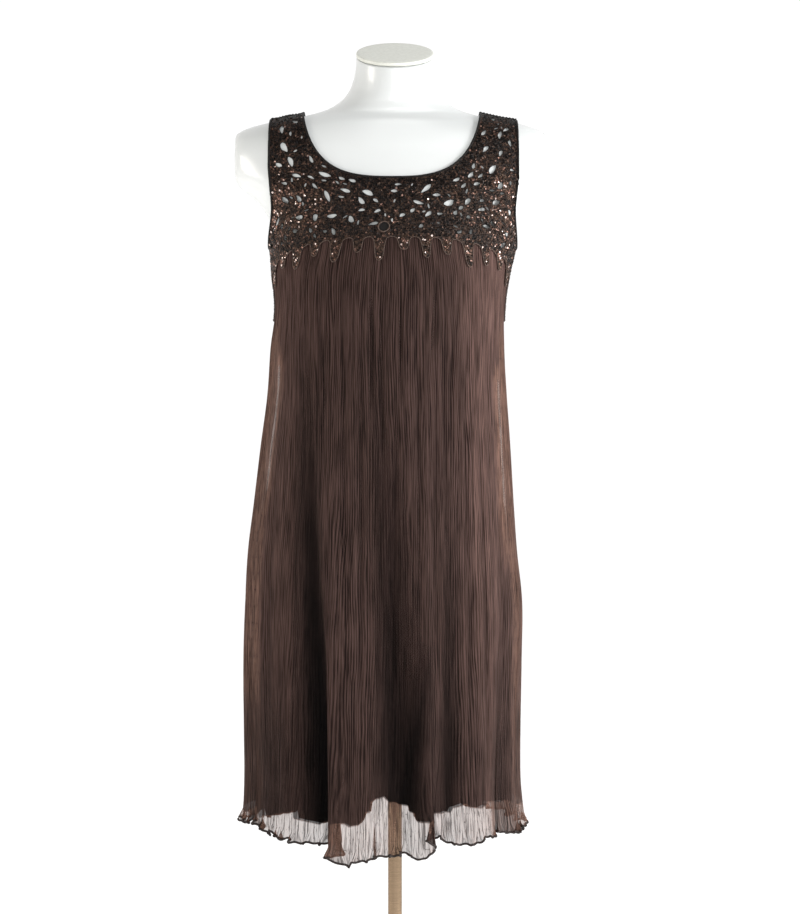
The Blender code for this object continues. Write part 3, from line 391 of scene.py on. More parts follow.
def folds(z, phi):
    """Sum of the valleys, each depth * down^1.3 * (0.35 ridge - valley) with Gaussian bells in the
    angle."""
    total = np.zeros(np.broadcast(z, phi).shape)
    for start_z, start_phi, hem_phi, depth, left, right in FOLDS:
        down, away = way_down(z, phi, start_z, FOLD_END, start_phi, hem_phi, FOLD_MOST)
        width = np.where(away < 0, left, right)
        beside = np.where(away < 0, away + RIDGE_PLACE * left, away - RIDGE_PLACE * right)
        total += depth * down**FOLD_ROUNDING * (RIDGE_SHARE * bell(beside, width) - bell(away, width))
    return total


def cloth_radius(z, phi):
    """Radius of the skirt's outer face with its folds."""
    return section(z, phi) + folds(z, phi)


def creases(z, phi):
    """Sum of narrow troughs, each depth * sin(pi t) * exp(-(away / width)^2 / 2), t from its top to its
    end."""
    total = np.zeros(np.broadcast(z, phi).shape)
    for top, bottom, top_phi, bottom_phi, depth, width in CREASES:
        t, away = way_down(z, phi, top, bottom, top_phi, bottom_phi)
        total -= depth * np.sin(np.pi * t) * bell(away, width)
    return total


def laps(z, phi, r, lined_only=False):
    """Angle and radius added by the laps. With x the length from a lap's edge along the section, the angle
    is -a (x / s) exp(1/2 - (x / s)^2 / 2) / r, and the radius sinks on the under side by a tanh that
    recovers with a Gaussian. Both grow with a power of the share of the way down."""
    turn = np.zeros(np.broadcast(z, phi).shape)
    sink = np.zeros(turn.shape)
    for start_z, start_phi, hem_phi, overlap, spread, power, lined in LAPS:
        if lined_only and not lined:
            continue
        down, away = way_down(z, phi, start_z, FOLD_END, start_phi, hem_phi, FOLD_MOST)
        away, grown = np.radians(away) * r, down**power
        pull = -away / spread * np.exp(0.5 - 0.5 * (away / spread) ** 2)
        turn += abs(overlap) * LAP_PULL * grown * pull / r
        under = 0.5 - 0.5 * np.tanh(np.sign(overlap) * away / (0.5 * spread))
        sink -= LAP_SINK * grown * under * bell(away, LAP_RECOVERY * spread)
    return turn, sink


def points_out(radius, z, phi, out):
    """Points of the surface radius(z, phi), moved out along its normal by the length out."""
    turn, rise = 1e-3, 0.25
    r = radius(z, phi)
    along = (radius(z, phi + turn) - radius(z, phi - turn)) / (2 * turn) / r
    up = (radius(z + rise, phi) - radius(z - rise, phi)) / (2 * rise)
    outward = around(np.ones_like(r), phi, 0)
    sideways = np.stack([np.cos(phi), np.sin(phi), np.zeros_like(r)], -1)
    normal = unit(outward - along[..., None] * sideways - up[..., None] * np.array([0, 0, 1.0]))
    return around(r, phi, z) + np.asarray(out, float)[..., None] * normal


# ================================================================ meshes and materials
def grid_faces(rows, columns, wrap=False):
    """Quads of a grid of points, row by row, facing out when rows run down and columns to the right."""
    j, i = np.meshgrid(np.arange(rows - 1), np.arange(columns if wrap else columns - 1), indexing="ij")
    corners = ((0, 0), (1, 0), (1, 1), (0, 1))
    return np.stack([(j + down) * columns + (i + on) % columns for down, on in corners], -1).reshape(-1, 4)


def placed(name, data):
    """An object with this data, linked to the scene."""
    obj = bpy.data.objects.new(name, data)
    bpy.context.scene.collection.objects.link(obj)
    return obj


def new_piece(name, points, faces, material, slot, uv=None, tone=None, replaces=(), smooth=True):
    """Mesh object from arrays in millimetres: rides on the root body, with a material. The slot is not used.
    """
    mesh = bpy.data.meshes.new(name)
    blocks = faces if isinstance(faces, list) else [faces]
    faces = [face for block in blocks for face in np.asarray(block).tolist()]
    mesh.from_pydata((np.asarray(points).reshape(-1, 3) * MM).tolist(), [], faces)
    if uv is not None:
        loops = np.empty(len(mesh.loops), np.int32)
        mesh.loops.foreach_get("vertex_index", loops)
        layer = mesh.uv_layers.new(name="cloth")
        layer.data.foreach_set("uv", (np.asarray(uv, float)[loops] * MM).astype(np.float32).ravel())
    for key, values in (tone or {}).items():
        attribute = mesh.attributes.new(key, "FLOAT", "POINT")
        attribute.data.foreach_set("value", np.asarray(values, np.float32).ravel())
    if smooth:
        mesh.shade_smooth()
    mesh.materials.append(material)
    obj = placed(name, mesh)
    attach(obj, "root")
    if replaces:
        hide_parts(*replaces)
    return obj


def copies(shape, points):
    """Faces of one small shape repeated for each row of points, (row, corner, xyz)."""
    count, corners = points.shape[:2]
    return (np.arange(count)[:, None, None] * corners + np.array(shape)[None]).reshape(-1, 3)


def tube(points, radius, sides, closed=True):
    """Tube round a path: ring points p + r (cos a n + sin a b), with n and b square to the path's
    direction."""
    if closed:
        along = unit(np.roll(points, -1, axis=0) - np.roll(points, 1, axis=0))
    else:
        along = unit(np.gradient(points, axis=0))
    n = unit(np.cross(along, np.where(np.abs(along[:, 2:]) > 0.9, [[1.0, 0, 0]], [[0, 0, 1.0]])))
    b = np.cross(along, n)
    turn = (np.arange(sides) * 2 * np.pi / sides)[None, :, None]
    rings = points[:, None] + radius * (np.cos(turn) * n[:, None] + np.sin(turn) * b[:, None])
    count = len(points)
    i, j = np.meshgrid(np.arange(count if closed else count - 1), np.arange(sides), indexing="ij")
    i2, j2 = (i + 1) % count, (j + 1) % sides
    quads = np.stack([i * sides + j2, i2 * sides + j2, i2 * sides + j, i * sides + j], -1).reshape(-1, 4)
    ends = [] if closed else [np.arange(sides)[None], ((count - 1) * sides + np.arange(sides)[::-1])[None]]
    return rings.reshape(-1, 3), [quads, *ends]


def joined(parts):
    """One set of points and face blocks from several (points, face blocks)."""
    points, blocks, start = [], [], 0
    for pts, faces in parts:
        points.append(pts)
        blocks += [f + start for f in faces]
        start += len(pts)
    return np.concatenate(points), blocks


class Nodes:
    """The node tree of a material or world, with a shader node in it to feed."""

    def __init__(self, owner, shader):
        owner.use_nodes = True
        self.nodes, self.links = owner.node_tree.nodes, owner.node_tree.links
        self.shader = self.nodes[shader]

    def feed(self, socket, value, node=None):
        """Links an input of a node, or else of the shader, to a socket, or sets it to a value."""
        into = (node or self.shader).inputs[socket]
        if isinstance(value, bpy.types.NodeSocket):
            self.links.new(value, into)
        else:
            into.default_value = value

    def add(self, kind, output, inputs=None, **settings):
        """An output of a new node with these inputs and settings."""
        node = self.nodes.new(f"ShaderNode{kind}")
        for key, value in settings.items():
            setattr(node, key, value)
        for key, value in (inputs or {}).items():
            self.feed(key, value, node)
        return node.outputs[output]

    def span(self, factor, low, high, start=0.0, end=1.0, **settings):
        """Maps factor from (start, end) to (low, high), clamped."""
        inputs = {"Value": factor, "From Min": start, "From Max": end, "To Min": low, "To Max": high}
        return self.add("MapRange", "Result", inputs, **settings)


class Finish(Nodes):
    """A node material under construction: one Principled BSDF and helpers to feed it."""

    def __init__(self, name, **sockets):
        self.material = bpy.data.materials.new(name)
        super().__init__(self.material, "Principled BSDF")
        for key, value in sockets.items():
            self.feed(key.replace("_", " "), value)

    def attribute(self, name):
        """A value that the mesh carries at each point."""
        return self.add("Attribute", "Fac", attribute_name=name)

    def coordinates(self, kind="Object", scale=(1, 1, 1), rotation=(0, 0, 0)):
        """Object coordinates, or the piece's UV map for kind UV, through a Mapping node."""
        source = self.add("UVMap", "UV", uv_map="cloth") if kind == "UV" else self.add("TexCoord", "Object")
        return self.add("Mapping", "Vector", {"Vector": source, "Scale": scale, "Rotation": rotation})

    def noise(self, vector, scale, detail=2.0, roughness=0.5):
        """Cloudy values from 0 to 1."""
        inputs = {"Vector": vector, "Scale": scale, "Detail": detail, "Roughness": roughness}
        return self.add("TexNoise", "Fac", inputs)

    def cloth_noise(self, across, down, detail=1.0, roughness=0.5):
        """Noise on the cloth's UV map, with so many cells to a metre across and down."""
        return self.noise(self.coordinates("UV", (across, down, 1)), 1.0, detail, roughness)

    def ramp(self, factor, *stops):
        """Colours blended between stops of (place, colour)."""
        shown = self.add("ValToRGB", "Color", {"Fac": factor})
        elements = shown.node.color_ramp.elements
        while len(elements) < len(stops):
            elements.new(0.5)
        for element, (position, colour) in zip(elements, stops):
            element.position, element.color = position, (*colour, 1)
        return shown

    def mix(self, factor, a, b):
        """Colour a where factor is 0, b where it is 1."""
        return self.add("Mix", 2, {"Factor": factor, 6: a, 7: b}, data_type="RGBA")

    def math(self, operation, a, b=0.0):
        """One sum, product or the like of two values."""
        return self.add("Math", 0, {0: a, 1: b}, operation=operation)

    def shares(self, first, second):
        """Sum of two (value, weight) pairs."""
        parts = [a if weight == 1 else self.math("MULTIPLY", a, weight) for a, weight in (first, second)]
        return self.math("ADD", *parts)

    def bump(self, height, distance, strength=1.0):
        """Fine relief from a height, so many metres deep."""
        inputs = {"Height": height, "Distance": distance, "Strength": strength}
        self.feed("Normal", self.add("Bump", "Normal", inputs))


def chiffon_finish():
    """Sheer crinkled chiffon: darker in the crinkles' valleys, partly for the threads bunched there and
    partly as painted shade, more open between them, and lighter and sheerer where no lining lies behind it,
    the lighter colour a painted backlight shining through. Its colour is scaled by the shade attribute:
    painted shade between the folds and painted light towards the sides."""
    f = Finish(
        "sheer_chiffon", Roughness=0.75, Sheen_Weight=0.03, Sheen_Roughness=0.45,
        Sheen_Tint=(0.8, 0.62, 0.56, 1), Specular_IOR_Level=0.05,
    )
    pleat, bare_and_backlit = f.attribute("crinkle"), f.attribute("bare_and_backlit")
    threads = f.cloth_noise(1050, 62, 2.0, 0.6)
    strands = f.span(f.cloth_noise(760, 24, 1.0, 0.45), 0.0, 1.0, 0.3, 0.7)
    broad = f.cloth_noise(60, 3, 2.0)
    fine = f.shares((strands, 0.24), (threads, 0.24))
    mixed = f.shares((pleat, 0.50), (fine, 1))
    # painted shade, partly real: the valleys of the crinkle take the dark end of this ramp, partly for the
    # threads bunched there
    colour = f.ramp(mixed, (0.32, (0.010, 0.0056, 0.0046)), (0.68, (0.080, 0.0475, 0.041)))
    worn = f.mix(f.span(broad, 0.0, 0.18, 0.35, 0.75), colour, (0.060, 0.035, 0.028, 1))
    swirl = f.math("ABSOLUTE", f.math("SUBTRACT", f.cloth_noise(430, 48, 1.0, 0.4), 0.5))
    open_mix = f.shares((pleat, 0.20), (fine, 1.55))
    lined = f.math("SUBTRACT", open_mix, f.span(swirl, 0.16, 0.0, 0.004, 0.030))
    # painted backlight: cloth without lining behind it takes this lighter colour, standing in for light that
    # shines through it
    light = f.ramp(lined, (0.3, (0.050, 0.028, 0.021)), (0.66, (0.25, 0.140, 0.105)))
    # painted shade and light: the shade attribute scales the colour, darker between the folds, in creases and
    # low down, lighter towards the sides
    valley = f.attribute("shade")
    f.feed("Base Color", f.add("VectorMath", 0, {0: f.mix(bare_and_backlit, worn, light), 3: valley}, operation="SCALE"))
    sheer = f.span(lined, 0.90, 0.53, 0.26, 0.54)
    backed = f.span(mixed, 0.98, 0.88, 0.28, 0.66)
    open_weave = f.span(bare_and_backlit, 0.0, 1.0, 0.62, 1.0)
    f.feed("Alpha", f.add("Mix", 0, {"Factor": open_weave, 2: backed, 3: sheer}))
    f.bump(fine, 0.0012, 0.8)
    return f.material


def lining_finish():
    """Smooth opaque lining with a fine weave and a slight sheen."""
    f = Finish("lining_cloth", Roughness=0.65, Sheen_Weight=0.03, Specular_IOR_Level=0.08)
    weave, slub = f.cloth_noise(1500, 1500), f.cloth_noise(300, 6, 3.0)
    f.feed("Base Color", f.ramp(slub, (0.3, (0.024, 0.014, 0.011)), (0.7, (0.042, 0.026, 0.021))))
    f.bump(weave, 0.0002, 0.5)
    return f.material


def yoke_finish():
    """Dark embroidered ground: dense short stitches over a knotty surface."""
    f = Finish("yoke_ground", Roughness=0.6, Specular_IOR_Level=0.2)
    stitch = f.cloth_noise(420, 900, 3.0, 0.7)
    knot = f.add("TexVoronoi", "Distance", {"Vector": f.coordinates("UV"), "Scale": 420.0})
    clump = f.cloth_noise(210, 260, 1.0, 0.4)
    knots = f.shares((stitch, 0.45), (knot, 0.35))
    both = f.shares((knots, 1), (f.span(clump, 0.0, 1.0, 0.32, 0.68), 0.34))
    f.feed("Base Color", f.ramp(
        both, (0.25, (0.003, 0.002, 0.0016)), (0.5, (0.016, 0.0085, 0.0062)), (0.85, (0.080, 0.045, 0.031)),
    ))
    f.bump(both, 0.0012, 0.9)
    return f.material


def sequin_finish():
    """Small cupped sequins, each with its own tone from black-brown over bronze to copper, and up to near
    white at the top of the ramp, which is painted glint.
    """
    f = Finish("bronze_sequins", Metallic=0.75, Roughness=0.3)
    # the top of the ramp is near white: painted glints
    f.feed("Base Color", f.ramp(
        f.attribute("tone"),
        (0.0, (0.002, 0.0015, 0.0013)), (0.25, (0.010, 0.006, 0.0045)), (0.45, (0.058, 0.034, 0.022)),
        (0.65, (0.125, 0.064, 0.046)), (0.85, (0.33, 0.19, 0.15)), (1.0, (0.92, 0.76, 0.70)),
    ))
    grain = f.noise(f.coordinates(), 900.0)
    f.feed("Roughness", f.span(grain, 0.2, 0.45, 0.3, 0.7))
    return f.material


def thread_finish(name, dark, light, shine=0.35):
    """Twisted thread or bias cloth: fine slanting ribs between a dark and a light tone."""
    f = Finish(name, Roughness=0.65, Specular_IOR_Level=shine)
    ribs = f.noise(f.coordinates("Object", (900, 900, 1400), (0.5, 0.3, 0.6)), 1.0)
    f.feed("Base Color", f.ramp(ribs, (0.35, dark), (0.65, light)))
    f.bump(ribs, 0.0004, 0.6)
    return f.material


def shell_finish():
    """Glossy white moulded shell with the faintest orange peel."""
    f = Finish("white_shell", Roughness=0.28, Coat_Weight=0.25, Coat_Roughness=0.12)
    tint = f.noise(f.coordinates(), 7.0)
    f.feed("Base Color", f.ramp(tint, (0.3, (0.640, 0.660, 0.655)), (0.7, (0.670, 0.685, 0.678))))
    f.bump(f.noise(f.coordinates(), 160.0, 1.0), 0.0002, 0.25)
    return f.material


def cap_finish():
    """Satin cap with a fine grain."""
    f = Finish("neck_cap_satin", Roughness=0.42)
    grain = f.noise(f.coordinates(), 260.0, 3.0)
    f.feed("Base Color", f.ramp(grain, (0.3, (0.63, 0.64, 0.58)), (0.7, (0.71, 0.72, 0.66))))
    f.bump(grain, 0.0002, 0.3)
    return f.material


def steel_finish():
    """Warm brushed metal, its brushing round the pole's axis."""
    f = Finish("warm_brushed_steel", Metallic=1.0, Roughness=0.18)
    brush = f.noise(f.coordinates("Object", (60, 60, 2600)), 1.0, 3.0, 0.6)
    f.feed("Base Color", f.ramp(brush, (0.3, (0.19, 0.132, 0.083)), (0.7, (0.31, 0.222, 0.146))))
    f.feed("Roughness", f.span(brush, 0.14, 0.24, 0.3, 0.7))
    f.bump(brush, 0.0001, 0.3)
    return f.material


CHIFFON, LINING_CLOTH = chiffon_finish(), lining_finish()
YOKE_GROUND, SEQUINS = yoke_finish(), sequin_finish()
EDGE_THREAD = thread_finish("edge_thread", (0.010, 0.006, 0.005), (0.028, 0.017, 0.014))
BIAS_CLOTH = thread_finish("bias_binding", (0.004, 0.0036, 0.0034), (0.011, 0.0085, 0.0078), 0.2)
CORD_THREAD = thread_finish("bronze_cord", (0.030, 0.018, 0.013), (0.15, 0.098, 0.076), 0.4)
BEAD_GLASS = thread_finish("bead_glass", (0.008, 0.0055, 0.0045), (0.075, 0.045, 0.034), 0.6)
SHELL, CAP_SATIN, STEEL = shell_finish(), cap_finish(), steel_finish()


# ================================================================ skirt
def half_turn(side, steps):
    """Angles from one side seam to the other, evenly along the section at COLUMN_HEIGHT, and that
    length."""
    sweep = np.radians(np.linspace(-90, 90, 721)) + (math.pi if side == "back" else 0)
    _, arc = ring(COLUMN_HEIGHT, sweep)
    even = np.linspace(0, 1, steps + 1) * arc[-1]
    return np.interp(even, arc, sweep), even


def hem_degrees(phi):
    """The angle in degrees as the hem tables count it, from -90 to 270."""
    return (np.degrees(phi) + 90) % 360 - 90


def hem_height(phi):
    """The chiffon's hem height read round its table, smoothed over the end."""
    rows = np.array(SKIRT_HEM, float)
    rows = np.concatenate([rows[-4:-1] - [360, 0], rows, rows[1:4] + [360, 0]])
    return on_curve(rows, hem_degrees(phi))[..., 0]


def lining_hem(phi):
    """The lining's hem height: straight from row to row of its table, unevenly cut by about 1 mm."""
    degrees = hem_degrees(phi)
    even = np.interp(degrees, *np.array(LINING_HEM, float).T)
    return even + 2.4 * lattice_noise(degrees / 2.6, degrees * 0, 5) - 1.2


def skirt_top(phi):
    """Height of the seam under the yoke: highest in the middle, by cos^2."""
    return SKIRT_TOP_SIDE + (SKIRT_TOP_CENTRE - SKIRT_TOP_SIDE) * np.cos(phi) ** 2


def crinkle(arc, z, seed):
    """Heights from 0 to 1 of fine pleats that wander on their way down: waves 0.5 + 0.5 cos(2 pi x / pitch)
    that grow and fade in places, narrow valleys exp(-((2 n - 1) / w)^2) along the middle level of noise
    long in z, and a wider swell."""
    drift = 7.0 * lattice_noise(arc / 60, z / 190, seed + 1) + 2.4 * lattice_noise(arc / 18, z / 70, seed + 2)
    drift = drift + (1.0 + 2.2 * smoothstep((600 - z) / 50)) * lattice_noise(arc / 11, z / 24, seed + 6)
    wave = (arc + drift) / FINE_PLEAT + 1.5 * lattice_noise(arc / 8, z / 75, seed + 3)
    depth = 0.34 + 0.46 * lattice_noise(arc / 4, z / 40, seed + 7)
    fine = 1 - depth * (0.5 - 0.5 * np.cos(2 * np.pi * wave))
    level = 2 * lattice_noise((arc + 0.7 * drift) / 2.3, z / 95, seed + 4) - 1
    loose = 1 - np.exp(-((level / 0.34) ** 2))
    wide = lattice_noise((arc + 1.4 * drift) / 6.5, z / 240, seed + 5)
    weights = CRINKLE_SHARES
    return np.clip(weights[0] * fine + weights[1] * loose + weights[2] * wide - CRINKLE_FLOOR, 0, 1)


def grid_normals(points):
    """Unit normals of a grid of points, rows down and columns to the right, pointing out."""
    return unit(np.cross(np.gradient(points, axis=0), np.gradient(points, axis=1)))


def seam_ease(arc, length):
    """Rises from 0 to 1 over a length from each side seam."""
    return np.minimum(1, np.minimum(arc, arc[-1] - arc) / length)


def hem_ruffle(arc, seed):
    """The ruffle along the hem: its wave's angle, its size, and how far the hem stands up or down in it, a
    sum of cusps 1 - 2 |cos|, slower and quicker waves, and hooks 1 - |sin|^0.4 in places."""
    def along(length, row, turn):
        """Noise along the hem, so many millimetres to a cell."""
        return lattice_noise(arc / length, arc * 0 + row, seed + turn)

    wander = along(45, 3.3, 9)
    wave = 2 * np.pi * (arc + 14 * wander) / RUFFLE_PITCH
    size = 0.55 + 0.8 * along(24, 7.7, 10)
    lean = 1.6 * along(31, 5.1, 12) - 0.5
    cusp = 1 - 2 * np.abs(np.cos(wave / 2 + 0.4))
    hook = 1 - np.abs(np.sin(np.pi * (arc + 16 * wander) / HOOK_PITCH)) ** 0.4
    rise = lean * cusp + 0.35 * np.cos(wave * 0.5 + 1.0) + 0.22 * np.sin(2.3 * wave)
    return wave, size, rise + 2.4 * (along(40, 9.1, 13) - 0.3) * hook


def chiffon_heights(phi, hem):
    """Heights of the grid's rows from the top to the hem, closer together at the lining's hem and in the
    ruffle."""
    band_top = hem + RUFFLE_BAND
    mark = np.maximum(lining_hem(phi), band_top + 6)
    levels = [skirt_top(phi), mark + 4, mark - 2, band_top, hem]
    counts = CHIFFON_ROWS, LINING_EDGE_ROWS, BARE_ROWS, CHIFFON_HEM_ROWS
    z = [levels[0][None]]
    for high, low, count in zip(levels, levels[1:], counts):
        share = np.linspace(0, 1, count + 1)[1:, None]
        z.append(high * (1 - share) + low * share)
    return np.concatenate(z)


def skirt_sheet(side, seed):
    """The chiffon's points: radius section + folds + creases + laps, angle phi + lap turn, a waved hem
    band, and the crinkle along the normal. Also their places along the cloth and the tones its finish
    reads."""
    phi, arc = half_turn(side, CHIFFON_COLUMNS)
    wave, size, rise = hem_ruffle(arc, seed)
    end = seam_ease(arc, 8.0)
    hem = hem_height(phi) + RUFFLE_DROP * size * rise * end
    z = chiffon_heights(phi, hem)
    phis, arcs = np.broadcast_to(phi, z.shape), np.broadcast_to(arc, z.shape)
    low = smoothstep((hem + RUFFLE_BAND - z) / RUFFLE_BAND) ** 1.3
    r = cloth_radius(z, phis) + creases(z, phis)
    turn, sink = laps(z, phis, r)
    r = r + sink + low * (RUFFLE_DEPTH * size * np.sin(wave) + 1.2) * end
    turned = phis + turn + low * (RUFFLE_SWING * size * np.cos(wave + 0.5) * end) / r
    points = around(r, turned, z)
    height = crinkle(arcs, z, seed)
    gathered = 1 + 0.6 * smoothstep((z - 1080) / 150)
    out = CRINKLE_DEPTH * (height - 0.5) * gathered * seam_ease(arc, 3.0)
    bare_and_backlit = bare_and_backlit_cloth(z, phis, r)
    # crinkle and shade become painted shade in the finish's colour; the share without lining becomes painted
    # backlight, and the painted shade is weaker where that share is high
    tones = {"crinkle": height, "bare_and_backlit": bare_and_backlit, "shade": 1 + (shade(z, phis, sink) - 1) * (1 - 0.8 * bare_and_backlit)}
    return points + out[..., None] * grid_normals(points), arcs, tones


def shade(z, phi, sink):
    """How much light the cloth keeps, exp(-d). d sums the bells of the SHADOWS, each growing on its way
    down, the depth of folds, creases and sunk laps over VALLEY_FADE, and a little more near the hem. It
    falls towards the sides by the strengths of SIDE_LIGHT, a little more above the hips and less in the
    last strip to the seam."""
    behind = smoothstep(0.5 - 0.9 * np.cos(phi))
    depth = (0.2 + 0.6 * behind) * folds(z, phi) + 0.8 * creases(z, phi) + 0.35 * sink
    total = np.where(depth < 0, -depth / VALLEY_FADE, -0.03 * depth)
    for row in SHADOWS:
        down, away = way_down(z, phi, row.top, row.bottom, row.top_phi, row.bottom_phi, SHADOW_MOST)
        total = total + row.depth * down**row.power * bell(away, np.where(away < 0, row.left, row.right))
    leftward = smoothstep((-np.degrees(np.arctan2(np.sin(phi), np.cos(phi))) - 40) / 12)
    low = smoothstep((LOW_SHADE_TOP - z) / LOW_SHADE_LENGTH)
    total = total + low * (LOW_SHADE + LOW_SHADE_LEFT * leftward)
    for towards, start, reach, light in SIDE_LIGHT:
        seam = 1 - (0.6 + 0.1 * towards) * smoothstep((np.abs(np.sin(phi)) - 0.94) / 0.05)
        higher = 1 + 0.18 * (1 + towards) * smoothstep((z - 700) / 200)
        total = total - light * higher * seam * smoothstep((towards * np.sin(phi) - start) / reach)
    return np.exp(-total)


def bare_and_backlit_cloth(z, phi, r):
    """How far the chiffon counts as without lining, from 0 to 1: fully from the lining's hem down except
    where it is DOUBLED, partly in a strip beside each side seam, and fully in the STREAKS, each exp(-(x /
    w)^2) across and fading at its ends. The finish makes such cloth sheerer and paints it lighter, a painted
    backlight; in the strip beside the seams it mostly lightens the colour, as painted light on the sides."""
    total = smoothstep((lining_hem(phi) + 1.2 - z) / 2.4)
    for middle, half, strength in DOUBLED:
        total = total * (1 - strength * np.exp(-((turn_to(phi, middle) / half) ** 4)))
    sideways, left = np.abs(np.sin(phi)), np.sin(phi) < 0
    strip = smoothstep((sideways - 0.93) / 0.04) * (1 - 0.5 * smoothstep((sideways - 0.982) / 0.016))
    fading = 1 - smoothstep((730 - z) / 90) * np.where(left, *STRIP_FADE)
    total = np.maximum(total, np.where(left, *STRIP_BARE_AND_LIT) * strip * fading * smoothstep((1170 - z) / 60))
    for top, bottom, top_phi, bottom_phi, width in STREAKS:
        _, away = way_down(z, phi, top, bottom, top_phi, bottom_phi)
        down = (top - z) / (top - bottom)
        shown = smoothstep(down / 0.12) * smoothstep((1 - down) / 0.4)
        total = np.maximum(total, shown * np.exp(-((np.radians(away) * r / width) ** 2)))
    return total


def chiffon(side, seed):
    """Outer skirt of one side, and its row of points along the hem."""
    points, arcs, tones = skirt_sheet(side, seed)
    piece = new_piece(
        f"chiffon_{side}", points, grid_faces(*arcs.shape), CHIFFON, "chiffon",
        uv=np.stack([arcs, points[..., 2]], -1).reshape(-1, 2), tone=tones, replaces=(f"skirt_{side}",),
    )
    return piece, points[-1]


def lining_radius(z, phi):
    """The skirt's surface moved in: close at the yoke, further in at the sides about the hips, and waved by
    the fullness of its own hem."""
    down = smoothstep((LINING_TUCK_TOP - z) / LINING_TUCK_LENGTH)
    low = smoothstep((LINING_LOW_TOP - z) / LINING_LOW_LENGTH)
    hips = bell(z - LINING_HIPS, LINING_HIPS_REACH)
    hips = hips + STREAK_TUCK * np.exp(-(((z - STREAK_HEIGHT) / STREAK_REACH) ** 4))
    hips = np.maximum(hips, smoothstep((LINING_HIPS - z) / LINING_HIPS_REACH))
    clear = LINING_CLEAR + down * (LINING_CLEAR_DOWN + np.sin(phi) ** 4 * (1.5 + LINING_CLEAR_SIDE * hips))
    wave = 0.5 - 0.5 * np.cos(LINING_WAVES * phi)
    return cloth_radius(z, phi) - CLOTH - clear - low * (LINING_CLEAR_HEM + LINING_WAVE_DEPTH * wave)


def lining(side):
    """Opaque under-skirt: the lining radius with the creases and most of the laps, down to its own uneven
    hem."""
    phi, arc = half_turn(side, LINING_COLUMNS)
    share = np.linspace(0, 1, LINING_ROWS)[:, None]
    z = skirt_top(phi) * (1 - share) + lining_hem(phi) * share
    phis, arcs = np.broadcast_to(phi, z.shape), np.broadcast_to(arc, z.shape)
    r = lining_radius(z, phis)
    turn, sink = laps(z, phis, r, lined_only=True)
    return new_piece(
        f"lining_{side}", around(r + 0.8 * creases(z, phis) + sink, phis + turn, z), grid_faces(*z.shape),
        LINING_CLOTH, "lining", uv=np.stack([arcs, z], -1).reshape(-1, 2), replaces=(f"lining_{side}",),
    )


# ================================================================ yoke
def row_interp(v, lengths, values):
    """values at v along each row, where lengths grow along the row."""
    i = np.clip((lengths < v[:, None]).sum(axis=1), 1, lengths.shape[1] - 1)
    at = np.arange(len(v))
    low, high = lengths[at, i - 1], lengths[at, i]
    t = np.clip((v - low) / np.maximum(high - low, 1e-9), 0, 1)
    return values[at, i - 1] * (1 - t) + values[at, i] * t


